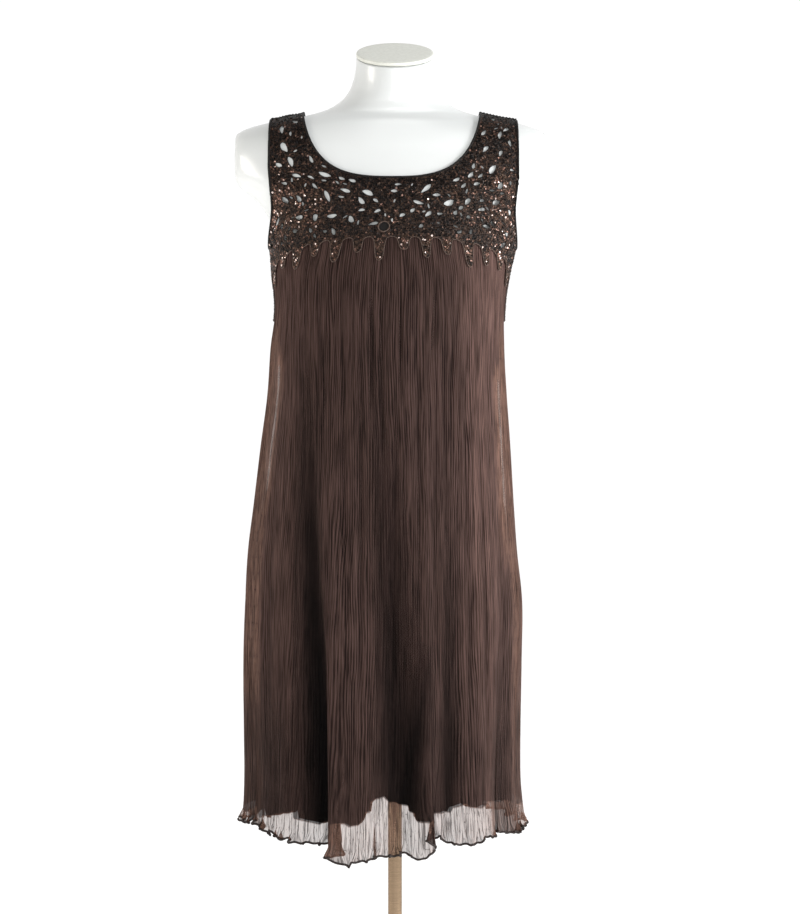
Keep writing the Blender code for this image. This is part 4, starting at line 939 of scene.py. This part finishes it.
class Panel:
    """One yoke panel laid flat: u across from -LAYOUT_HALF to +LAYOUT_HALF, v the length up from the
    underarm."""

    def __init__(self, side):
        self.side, self.facing = side, 1 if side == "front" else -1
        sweep = np.radians(np.linspace(-90, 90, 361))
        self.ring_phi = sweep if side == "front" else math.pi - sweep
        plan, arc = ring(UNDERARM, self.ring_phi)
        arc -= arc[180]
        self.ring_x = plan[:, 0]
        self.ring_u = arc * np.where(arc < 0, LAYOUT_HALF / -arc[0], LAYOUT_HALF / arc[-1])

    def x_of(self, u, v):
        """The underarm ring's own x at v = 0, evened out to a straight share of the strap's edge above."""
        edge = np.where(u < 0, STRAP_OUTER_LEFT, STRAP_OUTER_RIGHT)
        even = smoothstep(v / LAYOUT_EASE)
        return (1 - even) * np.interp(u, self.ring_u, self.ring_x) + even * u / LAYOUT_HALF * edge

    def u_of(self, x, v):
        """The u that lies at each x, at length v up the panel."""
        us = np.linspace(-LAYOUT_HALF, LAYOUT_HALF, 425)
        return np.array([np.interp(a, self.x_of(us, b), us) for a, b in zip(x, v)])

    def chest_lines(self, x):
        """Depth, height and running length of the upright sections at each x, from underarm to shoulder."""
        x = np.atleast_1d(np.asarray(x, float))
        zs = np.linspace(RIDGE_LOW, SHOULDER_END - 1, 120)
        left, right, *_ = columns_at(DRESS_ROWS, zs)
        ridge = np.where(x < 0, np.interp(-np.abs(x), -left, zs), np.interp(-np.abs(x), -right, zs))
        z = UNDERARM + (ridge[:, None] - UNDERARM) * np.sin(np.linspace(0, math.pi / 2, 90))
        left, right, front, back, power = columns_at(DRESS_ROWS, z)
        reach = np.where(x[:, None] < 0, left, right)
        share = np.clip(1 - np.abs(x[:, None] / reach) ** power, 0, 1)
        y = (front if self.facing > 0 else back) * share ** (1 / power)
        y[:, -1] = np.where(np.abs(x) > reach[:, -1], 0.0, y[:, -1])
        steps = np.hypot(np.diff(y, axis=1), np.diff(z, axis=1))
        return y, z, np.concatenate([np.zeros((len(x), 1)), np.cumsum(steps, axis=1)], axis=1)

    def place(self, u, v):
        """(z, phi) of layout points."""
        z, phi = UNDERARM + np.minimum(v, 0), np.interp(u, self.ring_u, self.ring_phi)
        above = np.flatnonzero(v > 0)
        if len(above):
            x = self.x_of(u[above], v[above])
            y, height, length = self.chest_lines(x)
            z[above] = row_interp(v[above], length, height)
            phi[above] = np.arctan2(x, self.facing * row_interp(v[above], length, y))
        return z, phi

    def points(self, layout, out):
        """Points of the layout on the cloth's surface, moved out by the length out."""
        z, phi = self.place(layout[:, 0], layout[:, 1])
        return points_out(cloth_radius, z, phi, np.broadcast_to(out, z.shape))

    def shoulder(self, u):
        """v of the shoulder line at u, by stepping towards the length of the section it lies on."""
        v = np.full(np.shape(u), 180.0)
        for _ in range(6):
            v = self.chest_lines(self.x_of(u, v))[2][:, -1]
        return v - SEAM_GAP / 2

    def shoulder_seam(self, start, end, steps):
        """Layout points along the shoulder line between two values of u."""
        us = np.linspace(start, end, steps + 1)[1:-1]
        return np.stack([us, self.shoulder(us)], -1)

    def neckline(self, count):
        """Half a superellipse of x against the length down the panel, from the right shoulder to the
        left."""
        even = np.linspace(0, 1, count)
        turn = math.pi * even - NECK_END_DENSITY * np.sin(2 * math.pi * even) / 2
        across = np.sign(np.cos(turn)) * np.abs(np.cos(turn)) ** (2 / NECK_POWER)
        x = NECK_CENTRE + NECK_HALF_WIDTH * across
        drop = np.sin(turn) ** (2 / NECK_POWER)
        _, z, length = self.chest_lines(NECK_CENTRE)
        bottom = np.interp(NECK_BOTTOM[self.side], z[0], length[0])
        tops = self.chest_lines(np.array([x[0], x[-1]]))[2][:, -1] - SEAM_GAP / 2
        v = bottom + (np.interp(turn, (0, math.pi), tops) - bottom) * (1 - drop)
        return np.stack([self.u_of(x, v), v], -1)

    def armhole(self, sign, count):
        """Layout points from the underarm up to the shoulder line, scooped inwards low down."""
        share = (1 - np.cos(np.linspace(0, math.pi, count))) / 2
        end = LAYOUT_HALF - SEAM_GAP / 2
        v = self.shoulder(np.array([sign * end]))[0] * share
        scoop = np.sin(math.pi * np.sqrt(np.clip(v / ARMHOLE_SCOOP_LENGTH, 0, 1)))
        return np.stack([sign * (end - ARMHOLE_SCOOP * scoop), v], -1)


PANELS = {side: Panel(side) for side in SIDES}


def edge_line(u):
    """The yoke's lower line before its fingers: EDGE_CENTRE - EDGE_SIDE_DROP |u / half|^3."""
    return EDGE_CENTRE - EDGE_SIDE_DROP * np.abs(u / LAYOUT_HALF) ** 3


def rounded(loop, times):
    """Corner cutting of an open line: each corner gives way to points at 1/4 and 3/4 of its sides."""
    for _ in range(times):
        near, far = 0.75 * loop[:-1] + 0.25 * loop[1:], 0.25 * loop[:-1] + 0.75 * loop[1:]
        loop = np.concatenate([loop[:1], np.stack([near, far], 1).reshape(-1, 2), loop[-1:]])
    return loop


def finger_edge(side, fine):
    """Lower edge from left to right: the dipping line with its fingers, corners cut where fine."""
    end = LAYOUT_HALF - SEAM_GAP / 2
    seam = np.linspace(0, float(edge_line(end)), SIDE_SEAM_STEPS + 1)[1:]
    seam = seam[-1:] if fine else seam
    points = [(-end, v) for v in seam]
    for place, width, length in FINGERS[side]:
        base = float(edge_line(place))
        points += [(place + a * width / 2, base - b * length) for a, b in FINGER_SHAPE]
    points = np.array(points + [(end, v) for v in seam[::-1]])
    if not fine:
        return points
    ends = np.linspace(0, seam[-1], FINE_SEAM_STEPS + 1)[1:-1]
    left, right = np.stack([0 * ends - end, ends], -1), np.stack([0 * ends + end, ends], -1)
    return np.concatenate([left, rounded(points, 2), right[::-1]])


def outline(panel, fine):
    """The panel's cut edge, anticlockwise in its flat layout, coarse as in the solids or fine."""
    neck_steps, arm_steps, seam_steps = FINE_STEPS if fine else (NECK_STEPS, ARMHOLE_STEPS, SHOULDER_STEPS)
    neck = panel.neckline(neck_steps)
    left_arm, right_arm = panel.armhole(-1, arm_steps)[::-1], panel.armhole(1, arm_steps)
    right_seam = panel.shoulder_seam(right_arm[-1, 0], neck[0, 0], seam_steps)
    left_seam = panel.shoulder_seam(neck[-1, 0], left_arm[0, 0], seam_steps)
    return np.concatenate([finger_edge(panel.side, fine), right_arm, right_seam, neck, left_seam, left_arm])


def inside(points, loop):
    """Even-odd test of points against a closed loop."""
    x, y = points[:, :1], points[:, 1:]
    x0, y0 = loop[:, 0], loop[:, 1]
    x1, y1 = np.roll(x0, -1), np.roll(y0, -1)
    spans = (y0 > y) != (y1 > y)
    with np.errstate(divide="ignore", invalid="ignore"):
        crossing = x0 + (y - y0) * (x1 - x0) / (y1 - y0)
    return (np.sum(spans & (x < crossing), axis=1) % 2) == 1


def in_holes(points, holes):
    """Whether each point lies in one of the holes."""
    covered = np.zeros(len(points), bool)
    for hole in holes:
        near = np.abs(points - hole.mean(axis=0)).max(axis=1) < HOLE_REACH
        covered[near] |= inside(points[near], hole)
    return covered


def dense(loop, step):
    """Points along a closed loop, no further apart than step."""
    return np.concatenate([
        a + (b - a) * np.linspace(0, 1, max(2, int(np.hypot(*(b - a)) / step) + 2))[:-1, None]
        for a, b in zip(loop, np.roll(loop, -1, axis=0))
    ])


def stretch(v):
    """Real width of one layout millimetre across, at length v up the panel."""
    return 1 - (1 - STRAP_OUTER_RIGHT / LAYOUT_HALF) * smoothstep(v / LAYOUT_EASE)


def laid(centre, along, over, tilt):
    """Layout points of a shape given along and across its long axis, which lies at the angle tilt."""
    du = along * math.cos(tilt) - over * math.sin(tilt)
    dv = along * math.sin(tilt) + over * math.cos(tilt)
    return np.stack([centre[0] + du / stretch(centre[1]), centre[1] + dv], -1)


def almond(centre, length, width, corners, tilt):
    """A pointed oval: (a cos t, b sin t (0.8 + 0.2 |sin t|))."""
    turn = np.arange(corners) * 2 * math.pi / corners
    over = width * np.sin(turn) * (0.8 + 0.2 * np.abs(np.sin(turn)))
    return laid(centre, length * np.cos(turn), over, tilt)


def pebble(centre, length, width, tilt, draw, corners=18):
    """An almond with its corners drawn in or out a little, so that no two are alike."""
    turn = np.arange(corners) * 2 * math.pi / corners
    wobble = 1 + 0.10 * np.cos(2 * turn + draw.uniform(0, 6)) + 0.08 * np.cos(3 * turn + draw.uniform(0, 6))
    over = 0.78 * width * wobble * np.sin(turn) * (0.66 + 0.34 * np.abs(np.sin(turn)))
    return laid(centre, length * wobble * np.cos(turn), over, tilt)


def clear_of(hole, others, least):
    """Whether a hole keeps at least this real distance from each of the other points."""
    centre = hole.mean(axis=0)
    near = others[np.abs(others - centre).max(axis=1) < 30]
    if len(near) == 0:
        return True
    apart = (dense(hole, 1.5)[:, None] - near[None]) * np.array([stretch(centre[1]), 1.0])
    return np.linalg.norm(apart, axis=-1).min() >= least


class Cutter:
    """Makes holes in a panel one by one, each only where it keeps clear of the edge and of those before."""

    def __init__(self, edge, holes):
        self.edge, self.border = edge, dense(edge, 2.0)
        self.taken = np.concatenate([np.empty((0, 2))] + [dense(hole, 1.5) for hole in holes])

    def cut(self, centre, hole, bar, edge_bar):
        """Takes a hole's place if it is free, and says whether it was."""
        free = inside(centre[None], self.edge)[0] and clear_of(hole, self.border, edge_bar)
        if free and clear_of(hole, self.taken, bar):
            self.taken = np.concatenate([self.taken, dense(hole, 1.5)])
            return True
        return False


def eyelet_hole(side, corners):
    """The eyelet's round hole in a list, which is empty on a side without one."""
    if EYELET[side] is None:
        return []
    u, v, radius = EYELET[side]
    return [almond((u, v), radius, radius, corners, 0.0)]


def cutwork(side, edge):
    """Almond holes thrown at random from the largest down, kept where a bar's width stays clear, as
    (centre, length, width, tilt)."""
    draw = np.random.default_rng(SEED[side])
    cutter, kept = Cutter(edge, eyelet_hole(side, EYELET_STEPS)), []
    low, high = edge.min(axis=0), edge.max(axis=0)
    for length, width, count, corners in HOLES[side]:
        most = len(kept) + count
        for _ in range(HOLE_TRIES):
            centre = low + (high - low) * draw.random(2)
            size = 1 + draw.uniform(-HOLE_SPREAD, HOLE_SPREAD)
            round_neck = math.atan2(centre[1] - high[1], centre[0]) + math.pi / 2
            shape = centre, length * size, width * size, round_neck + draw.uniform(-HOLE_LEAN, HOLE_LEAN)
            if cutter.cut(centre, almond(*shape[:3], corners, shape[3]), BAR, EDGE_BAR):
                kept.append(shape)
                if len(kept) == most:
                    break
    return kept


def yoke_loops(side):
    """The fine edge and all hole loops of a panel: the eyelet, the larger holes with uneven rims, and small
    ones thrown between them."""
    panel = PANELS[side]
    draw = np.random.default_rng(SEED[side] + 100)
    loops = [pebble(*hole, draw) for hole in cutwork(side, outline(panel, False))]
    loops = eyelet_hole(side, 28) + loops
    edge, most = outline(panel, True), len(loops) + SMALL_HOLES
    cutter, low, high = Cutter(edge, loops), edge.min(axis=0), edge.max(axis=0)
    centres = low + (high - low) * draw.random((SMALL_TRIES, 2))
    for centre, blocked in zip(centres, in_holes(centres, loops)):
        size, tilt = draw.uniform(0.75, 1.25), draw.uniform(0, math.pi)
        hole = almond(centre, 2.9 * size, 1.3 * size, 9, tilt)
        if not blocked and cutter.cut(centre, hole, SMALL_BAR, SMALL_EDGE_BAR):
            loops.append(hole)
            if len(loops) == most:
                break
    return edge, loops


def nearest(points, others, cell=12.0):
    """Distance from each point to the nearest of the others, up to about one cell."""
    best = np.empty(len(points))
    order = np.argsort(points[:, 0])
    others = others[np.argsort(others[:, 0])]
    for block in np.array_split(order, max(1, len(order) // 400)):
        if len(block):
            span = points[block, 0].min() - cell, points[block, 0].max() + cell
            near = others[slice(*np.searchsorted(others[:, 0], span))]
            apart = np.linalg.norm(points[block][:, None] - near[None], axis=-1)
            best[block] = apart.min(axis=1, initial=cell)
    return best


def on_cloth(grid, edge, holes, spacing, rim):
    """The points that lie within the edge, outside the holes, and further than rim from both."""
    grid = grid[inside(grid, edge)]
    grid = grid[nearest(grid, np.concatenate([dense(loop, spacing) for loop in [edge, *holes]])) > rim]
    return grid[~in_holes(grid, holes)]


def staggered(edge, step, row_step):
    """Grid of points over the edge's box, every second row shifted by half a step."""
    (u0, v0), (u1, v1) = edge.min(axis=0), edge.max(axis=0)
    grid = np.stack(np.meshgrid(np.arange(u0, u1, step), np.arange(v0, v1, row_step)), -1)
    grid[1::2, :, 0] += step / 2
    return grid.reshape(-1, 2)


def yoke(side):
    """Cutwork panel: a Delaunay filling of its flat layout, raised a little round each hole by
    0.45 exp(-((d - 1.6) / 1.1)^2) at the distance d from its rim and by noise, as a thin wall."""
    panel = PANELS[side]
    edge, holes = yoke_loops(side)
    points, edges = [], []
    for loop in [edge, *holes]:
        start = len(points)
        points += [Vector(p) for p in loop]
        edges += [(start + i, start + (i + 1) % len(loop)) for i in range(len(loop))]
    points += [Vector(p) for p in on_cloth(staggered(edge, 4.2, 4.2), edge, holes, 1.5, 1.7)]
    flat, _, faces, *_ = delaunay_2d_cdt(points, edges, [], 0, 1e-5)
    flat, faces = np.array([tuple(p) for p in flat]), np.array(faces)
    middles = flat[faces].mean(axis=1)
    faces = faces[inside(middles, edge) & ~in_holes(middles, holes)]
    if side == "back":
        faces = faces[:, ::-1]
    rim = nearest(flat, np.concatenate([dense(loop, 1.5) for loop in holes]))
    lump = lattice_noise(flat[:, 0] / 3.1, flat[:, 1] / 3.1, 5)
    relief = 0.45 * np.exp(-((rim - 1.6) / 1.1) ** 2) + 0.5 * lump - 0.2
    relief = np.where(rim < 0.4, -0.25, relief)
    walls = np.concatenate([panel.points(flat, YOKE_OUTER - 0.1 + relief), panel.points(flat, YOKE_INNER)])
    count = len(flat)
    start, end = np.concatenate([faces[:, [0, 1]], faces[:, [1, 2]], faces[:, [2, 0]]]).T
    free = ~np.isin(start * (count + 1) + end, end * (count + 1) + start)
    start, end = start[free], end[free]
    rims = np.stack([end, start, start + count, end + count], -1)
    piece = new_piece(
        f"yoke_cutwork_{side}", walls, [faces, faces[:, ::-1] + count, rims], YOKE_GROUND, "yoke",
        uv=np.concatenate([flat, flat]), replaces=(f"yoke_{side}",),
    )
    piece.data.set_sharp_from_angle(angle=math.radians(50))
    return piece, edge, holes


def sequins(side, edge, holes):
    """Cupped six-sided discs on a jittered grid over the yoke, each tilted and toned at random, brighter
    towards the sides and the finger ends, where copper ones cluster and a few are turned near white as
    painted glints."""
    panel = PANELS[side]
    draw = np.random.default_rng(SEED[side] + 7)
    grid = staggered(edge, SEQUIN_STEP, SEQUIN_STEP * 0.87)
    grid = on_cloth(grid + draw.uniform(-0.7, 0.7, grid.shape), edge, holes, 1.2, 1.15)
    grid = grid[panel.shoulder(grid[:, 0]) - grid[:, 1] > SHOULDER_BAND]
    u, v = grid.T
    base = panel.points(grid, SEQUIN_LIFT)
    up = unit(panel.points(grid, SEQUIN_LIFT + 1) - base)
    normal = unit(up + draw.normal(0, 0.22, base.shape))
    side_way = unit(np.cross(normal, np.array([0.1, 0.2, 1.0])))
    other = np.cross(normal, side_way)[:, None]
    radius = draw.uniform(0.85, 1.45, (len(grid), 1, 1))
    turn = (draw.uniform(0, np.pi / 3, (len(grid), 1)) + np.arange(6) * np.pi / 3)[..., None]
    rim = base[:, None] + radius * (np.cos(turn) * side_way[:, None] + np.sin(turn) * other)
    points = np.concatenate([(base - 0.3 * normal)[:, None], rim], axis=1)
    outwards = (np.abs(u) / LAYOUT_HALF) ** 3 * smoothstep((110 - v) / 60)
    low_down = smoothstep((edge_line(u) + 8 - v) / 14)
    tone = draw.beta(0.8, 3.6, len(grid)) + 0.28 * low_down + (0.26 + np.where(u < 0, 0.18, 0.0)) * outwards
    patch, clump = lattice_noise(u / 26, v / 26, 12), lattice_noise(u / 4.2, v / 3.6, 15)
    tone += 0.26 * (patch - 0.5) + 0.42 * (clump - 0.52)
    # painted glints: a few sequins jump to the near-white top of the tones, more often low down and towards
    # the sides
    tone += 0.5 * (draw.random(len(grid)) < 0.006 + 0.06 * low_down + 0.06 * outwards)
    fan = [(0, 1 + k, 1 + (k + 1) % 6) for k in range(6)]
    new_piece(
        f"sequins_{side}", points, copies(fan, points), SEQUINS, "sequins",
        tone={"tone": np.repeat(np.clip(tone, 0, 1), 7)}, smooth=False,
    )


def side_beads(side):
    """Small dark beads that trail off down both side edges: octahedra at random, thinning out on the way
    down."""
    panel, draw = PANELS[side], np.random.default_rng(SEED[side] + 19)
    beside = np.repeat((-1.0, 1.0), SIDE_BEADS)
    fall = draw.random(len(beside)) ** 1.4
    reach = LAYOUT_HALF - 1.5 - np.abs(draw.normal(0, 7.0, len(beside))) * (1 - 0.7 * fall)
    layout = np.stack([beside * reach, edge_line(LAYOUT_HALF) + 8 - 48 * fall], -1)
    radius = draw.uniform(0.8, 1.5, (len(beside), 1, 1))
    corners = np.array([(1, 0, 0), (0, 1, 0), (-1, 0, 0), (0, -1, 0), (0, 0, 1), (0, 0, -1)])
    points = panel.points(layout, 1.2)[:, None] + radius * corners
    octahedron = [(0, 1, 4), (1, 2, 4), (2, 3, 4), (3, 0, 4), (1, 0, 5), (2, 1, 5), (3, 2, 5), (0, 3, 5)]
    new_piece(f"side_beads_{side}", points, copies(octahedron, points), BEAD_GLASS, "sequins", smooth=False)


def corded_edge(side, edge, holes):
    """Cord along the fingered edge and round the larger holes: tubes on the panel's outer face."""
    panel = PANELS[side]
    low = np.abs(edge[:, 1] - edge_line(LAYOUT_HALF))
    start, stop = (int(np.argmin(np.abs(edge[:, 0] - end) + low)) for end in (-LAYOUT_HALF, LAYOUT_HALF))
    path = panel.points(edge[start + 1:stop], YOKE_OUTER + 0.25)
    new_piece(f"finger_cord_{side}", *tube(path, CORD_RADIUS, 6, closed=False), CORD_THREAD, "sequins")
    rims = [panel.points(loop, YOKE_OUTER) for loop in holes if np.ptp(loop, axis=0).sum() > CORDED_SIZE]
    new_piece(f"hole_cords_{side}", *joined([tube(rim, CORD_RADIUS, 5) for rim in rims]), BIAS_CLOTH, "yoke")


def bindings():
    """Rolled bindings round the neck and the armholes: tubes of 12 sides that lap the yoke's cut edges by
    BINDING_LAP, so their middles lie in the opening, square to the edge and to the way out of the cloth."""
    front, back = PANELS.values()
    layouts = {"neck_binding": (front.neckline(141), back.neckline(141))}
    for name, sign in (("armhole_binding_left", -1), ("armhole_binding_right", 1)):
        layouts[name] = front.armhole(sign, 60), back.armhole(sign, 60)
    for name, (ahead, behind) in layouts.items():
        path, above = (
            np.concatenate([front.points(ahead, out), back.points(behind[::-1], out)[1:-1]])
            for out in (BINDING_OUT, BINDING_OUT + 1)
        )
        into = unit(np.cross(np.roll(path, -1, axis=0) - np.roll(path, 1, axis=0), above - path))
        into *= np.sign(np.sum(into * (path.mean(axis=0) - path), axis=1, keepdims=True))
        rolled = tube(path + into * (BINDING_RADIUS - BINDING_LAP), BINDING_RADIUS, 12)
        new_piece(f"{name}_cloth", *rolled, BIAS_CLOTH, "binding", replaces=(name,))


def shoulder_tape(name, sign):
    """Tape over a shoulder seam: a strip over the top of the strap, TAPE_TOP - TAPE_ROUND |w / half|^4 high
    across it, with a slightly wavy top."""
    neck_u = PANELS["front"].neckline(3)[0 if sign > 0 else -1, 0]
    us = np.linspace(neck_u - sign * TAPE_OVERHANG, sign * (LAYOUT_HALF + TAPE_END), 24)[::sign]
    uneven = 0.55 * np.sin(us * 1.1) + 0.35 * np.sin(us * 2.3 + 1)
    half = np.linspace(TAPE_HALF_WIDTH, 0, 8)
    widths = np.concatenate([half, -half[-2::-1]])
    rows = []
    for width, out in zip(widths, TAPE_TOP - TAPE_ROUND * np.abs(widths / TAPE_HALF_WIDTH) ** 4):
        panel = PANELS["front" if width >= 0 else "back"]
        rows.append(panel.points(np.stack([us, panel.shoulder(us) - abs(width)], -1), out + uneven))
    faces = grid_faces(len(widths), len(us))[:, ::-1]
    new_piece(f"{name}_cloth", rows, faces, BIAS_CLOTH, "binding", replaces=(name,))


def eyelet():
    """Ringed eyelet of the front: a dark cloth disc behind the hole and a cord ring round it."""
    panel, (u, v, radius) = PANELS["front"], EYELET["front"]
    turn = np.linspace(0, 2 * np.pi, 33)[:-1]
    radius += EYELET_RIM
    circle = np.stack([u + radius / stretch(v) * np.cos(turn), v + radius * np.sin(turn)], -1)
    new_piece("eyelet_ring", *tube(panel.points(circle, YOKE_OUTER + 0.5), 0.6, 8), CORD_THREAD, "sequins")
    disc = (np.array([u, v]) + np.linspace(0, 1, 6)[:, None, None] * (circle - [u, v])).reshape(-1, 2)
    faces = grid_faces(6, len(turn), wrap=True)
    new_piece("eyelet_backing", panel.points(disc, YOKE_INNER + 0.3), faces, BIAS_CLOTH, "lining", uv=disc)


# ================================================================ form and stand
def dress_form():
    """The form: superellipse sections on a Hermite curve through the form's rows, filled out to the yoke
    that rests on it, arms cut off with a rounded rim, the neck cut sloping."""
    z = np.concatenate([np.linspace(760, 1395, 120), np.linspace(1396, 1489, 60)])[:, None]
    half, front, back, shift, lean, power = columns_at(FORM_ROWS, z)
    _, _, worn_front, worn_back, _ = columns_at(DRESS_ROWS, z)
    rises = [smoothstep((z - start) / length) for start, length in (FILL_START, FILL_END, REST_CHANGE)]
    worn, rest = rises[0] * (1 - rises[1]), SKIRT_REST + (YOKE_REST - SKIRT_REST) * rises[2]
    front = front + worn * np.maximum(worn_front + rest - front, 0)
    back = back + worn * np.maximum(worn_back + rest - back, 0)
    turn = np.linspace(0, 2 * np.pi, 129)[:-1]
    sine, cosine = np.sin(turn), np.cos(turn)
    across = half * np.sign(sine) * np.abs(sine) ** (2 / power)
    y = -np.where(cosine > 0, front, back) * np.sign(cosine) * np.abs(cosine) ** (2 / power) + lean
    full = ARM_CUT - ARM_ROUND
    over = np.abs(across) - full
    cut = np.sign(across) * (full + ARM_ROUND * np.tanh(np.maximum(over, 0) / ARM_ROUND))
    across = np.where(over > 0, cut, across) + shift
    slope = math.tan(NECK_TILT) * smoothstep((z - NECK_TILT_START) / (FORM_ROWS[-1].z - NECK_TILT_START))
    points = np.stack([across, y, z + slope * (y - lean)], -1)
    middle = points[-1].mean(axis=0)
    foot = [points[0] * [k, k, 1] for k in (0.02, 0.5, 0.97, 0.985)]
    body = np.concatenate([foot, points, [middle + (points[-1] - middle) * k for k in (0.97, 0.5, 0.02)]])
    rows, count = body.shape[:2]
    faces = grid_faces(rows, count, wrap=True)[:, ::-1]
    caps = [np.arange(count)[None], ((rows - 1) * count + np.arange(count)[::-1])[None]]
    new_piece("dress_form_shell", body, [faces, *caps], SHELL, "form", replaces=("form_torso",))


def turned(name, node, profile, steps, material=STEEL, slot="stand", tilt=0.0, centre=(0, 0, 0)):
    """A profile of (r, z) points from the bottom middle out and up, turned about the Z axis, then
    tilted."""
    r, z = np.array(profile, float).T[..., None]
    turn = np.arange(steps) * 2 * np.pi / steps
    y, cosine, sine = r * np.sin(turn), math.cos(tilt), math.sin(tilt)
    points = np.stack([r * np.cos(turn), y * cosine - z * sine, y * sine + z * cosine], -1) + centre
    faces = grid_faces(len(profile), steps, wrap=True)[:, ::-1]
    piece = new_piece(name, points, faces, material, slot, replaces=(node,))
    piece.data.set_sharp_from_angle(angle=math.radians(40))


def neck_cap():
    """Slightly domed disc with a rounded rim on the neck's sloping end."""
    half = CAP_THICKNESS / 2
    rim = [
        (CAP_RADIUS - CAP_ROUND + CAP_ROUND * math.cos(t), half + half * math.sin(t))
        for t in np.linspace(-np.pi / 2, np.pi / 2, 9)
    ]
    dome = [(CAP_RADIUS * k, CAP_THICKNESS + 0.5 * (1 - k * k)) for k in (0.9, 0.7, 0.45, 0.2, 0.01)]
    profile = [(0.01, 0), (CAP_RADIUS * 0.5, 0), *rim, *dome]
    up = np.array([0, -math.sin(NECK_TILT), math.cos(NECK_TILT)]) * SEAM_GAP
    centre = np.array([0, FORM_ROWS[-1].lean, FORM_ROWS[-1].z]) + up
    turned("neck_cap_disc", "neck_cap", profile, 96, CAP_SATIN, "cap", NECK_TILT, centre)


def stand():
    """Pole, collars and base plate as turned profiles."""
    foot = BASE_HEIGHT + SEAM_GAP
    pole = (0.01, foot), (POLE_RADIUS, foot), (POLE_RADIUS, POLE_TOP), (0.01, POLE_TOP)
    turned("pole_tube", "pole", pole, 64)
    inner, top = BASE_RADIUS - BASE_ROUND, BASE_HEIGHT - BASE_ROUND
    bevel = [
        (inner + BASE_ROUND * math.sin(t), top + BASE_ROUND * math.cos(t)) for t in np.linspace(1.57, 0, 7)
    ]
    under = (0.01, 0), (BASE_RADIUS - 0.8, 0), (BASE_RADIUS, 0.8)
    turned("base_disc", "base_plate", (*under, *bevel, (120, BASE_HEIGHT), (0.01, BASE_HEIGHT)), 144)
    for kind, low in (("base", foot), ("form", FORM_ROWS[0].z - SEAM_GAP - COLLAR_HEIGHT)):
        high = low + COLLAR_HEIGHT
        turned(f"{kind}_ferrule", f"{kind}_collar", (
            (9.3, low), (17.5, low), (19, low + 1.5), (19, high - 8), (18.2, high - 7.4), (18.2, high - 6.6),
            (19, high - 6), (19, high - 1.5), (17.5, high), (9.3, high),
        ), 64)


# ================================================================ build
dress_form()
neck_cap()
stand()
shapes = {side: yoke(side) for side in SIDES}
for side, (_, edge, holes) in shapes.items():
    sequins(side, edge, holes)
    side_beads(side)
    corded_edge(side, edge, holes)
bindings()
shoulder_tape("shoulder_tape_left", -1)
shoulder_tape("shoulder_tape_right", 1)
eyelet()
linings = {side: lining(side) for side in SIDES}
skirts, hem_rows = {}, []
for side in SIDES:
    skirts[side], hem_row = chiffon(side, SKIRT_SEED[side])
    hem_rows.append(hem_row[::2])
merrow = new_piece("merrow_edge", *tube(np.concatenate(hem_rows), MERROW_RADIUS, 6), EDGE_THREAD, "chiffon")


def studio_floor():
    """Large pale floor that gives off a little light of its own."""
    f = Finish(
        "pale_floor", Roughness=0.7, Base_Color=(0.92, 0.92, 0.92, 1), Emission_Color=(1, 1, 1, 1),
        Emission_Strength=0.58,
    )
    mesh = bpy.data.meshes.new("floor")
    mesh.from_pydata([(-9, -9, 0), (9, -9, 0), (9, 9, 0), (-9, 9, 0)], [], [(0, 1, 2, 3)])
    mesh.materials.append(f.material)
    placed("floor", mesh)


def studio_world():
    """Plain white surroundings. Their light fades from white behind the dress to grey in front of it, by
    the Y of the direction."""
    world = bpy.context.scene.world = bpy.data.worlds.new("studio")
    w = Nodes(world, "Background")
    ahead = w.add("SeparateXYZ", "Y", {"Vector": w.add("TexCoord", "Generated")})
    fade = w.span(ahead, 0.13, 1.04, -0.15, 0.55, interpolation_type="SMOOTHSTEP")
    seen = w.add("LightPath", "Is Camera Ray")
    w.feed("Color", w.add("Mix", "Result", {"Factor": seen, "A": fade, "B": 1.04}))
    w.feed("Strength", 1.0)


def soft_light(name, place, target, size, power, colour=(1, 1, 1)):
    """Square area light that looks at a target."""
    light = bpy.data.lights.new(name, "AREA")
    light.energy, light.size, light.color = power, size, colour
    obj = placed(name, light)
    obj.location = place
    obj.rotation_euler = (Vector(target) - Vector(place)).to_track_quat("-Z", "Y").to_euler()


studio_floor()
studio_world()
for light in LIGHTS:
    soft_light(*light)
bpy.context.scene.view_settings.view_transform = "Standard"

lens = bpy.data.cameras.new("camera")
lens.sensor_width, lens.lens = 36.0, 98.85
camera = placed("camera", lens)
camera.location, camera.rotation_euler = (0.0064, -3.2, 0.98), (math.pi / 2, 0, 0)
bpy.context.scene.camera = camera
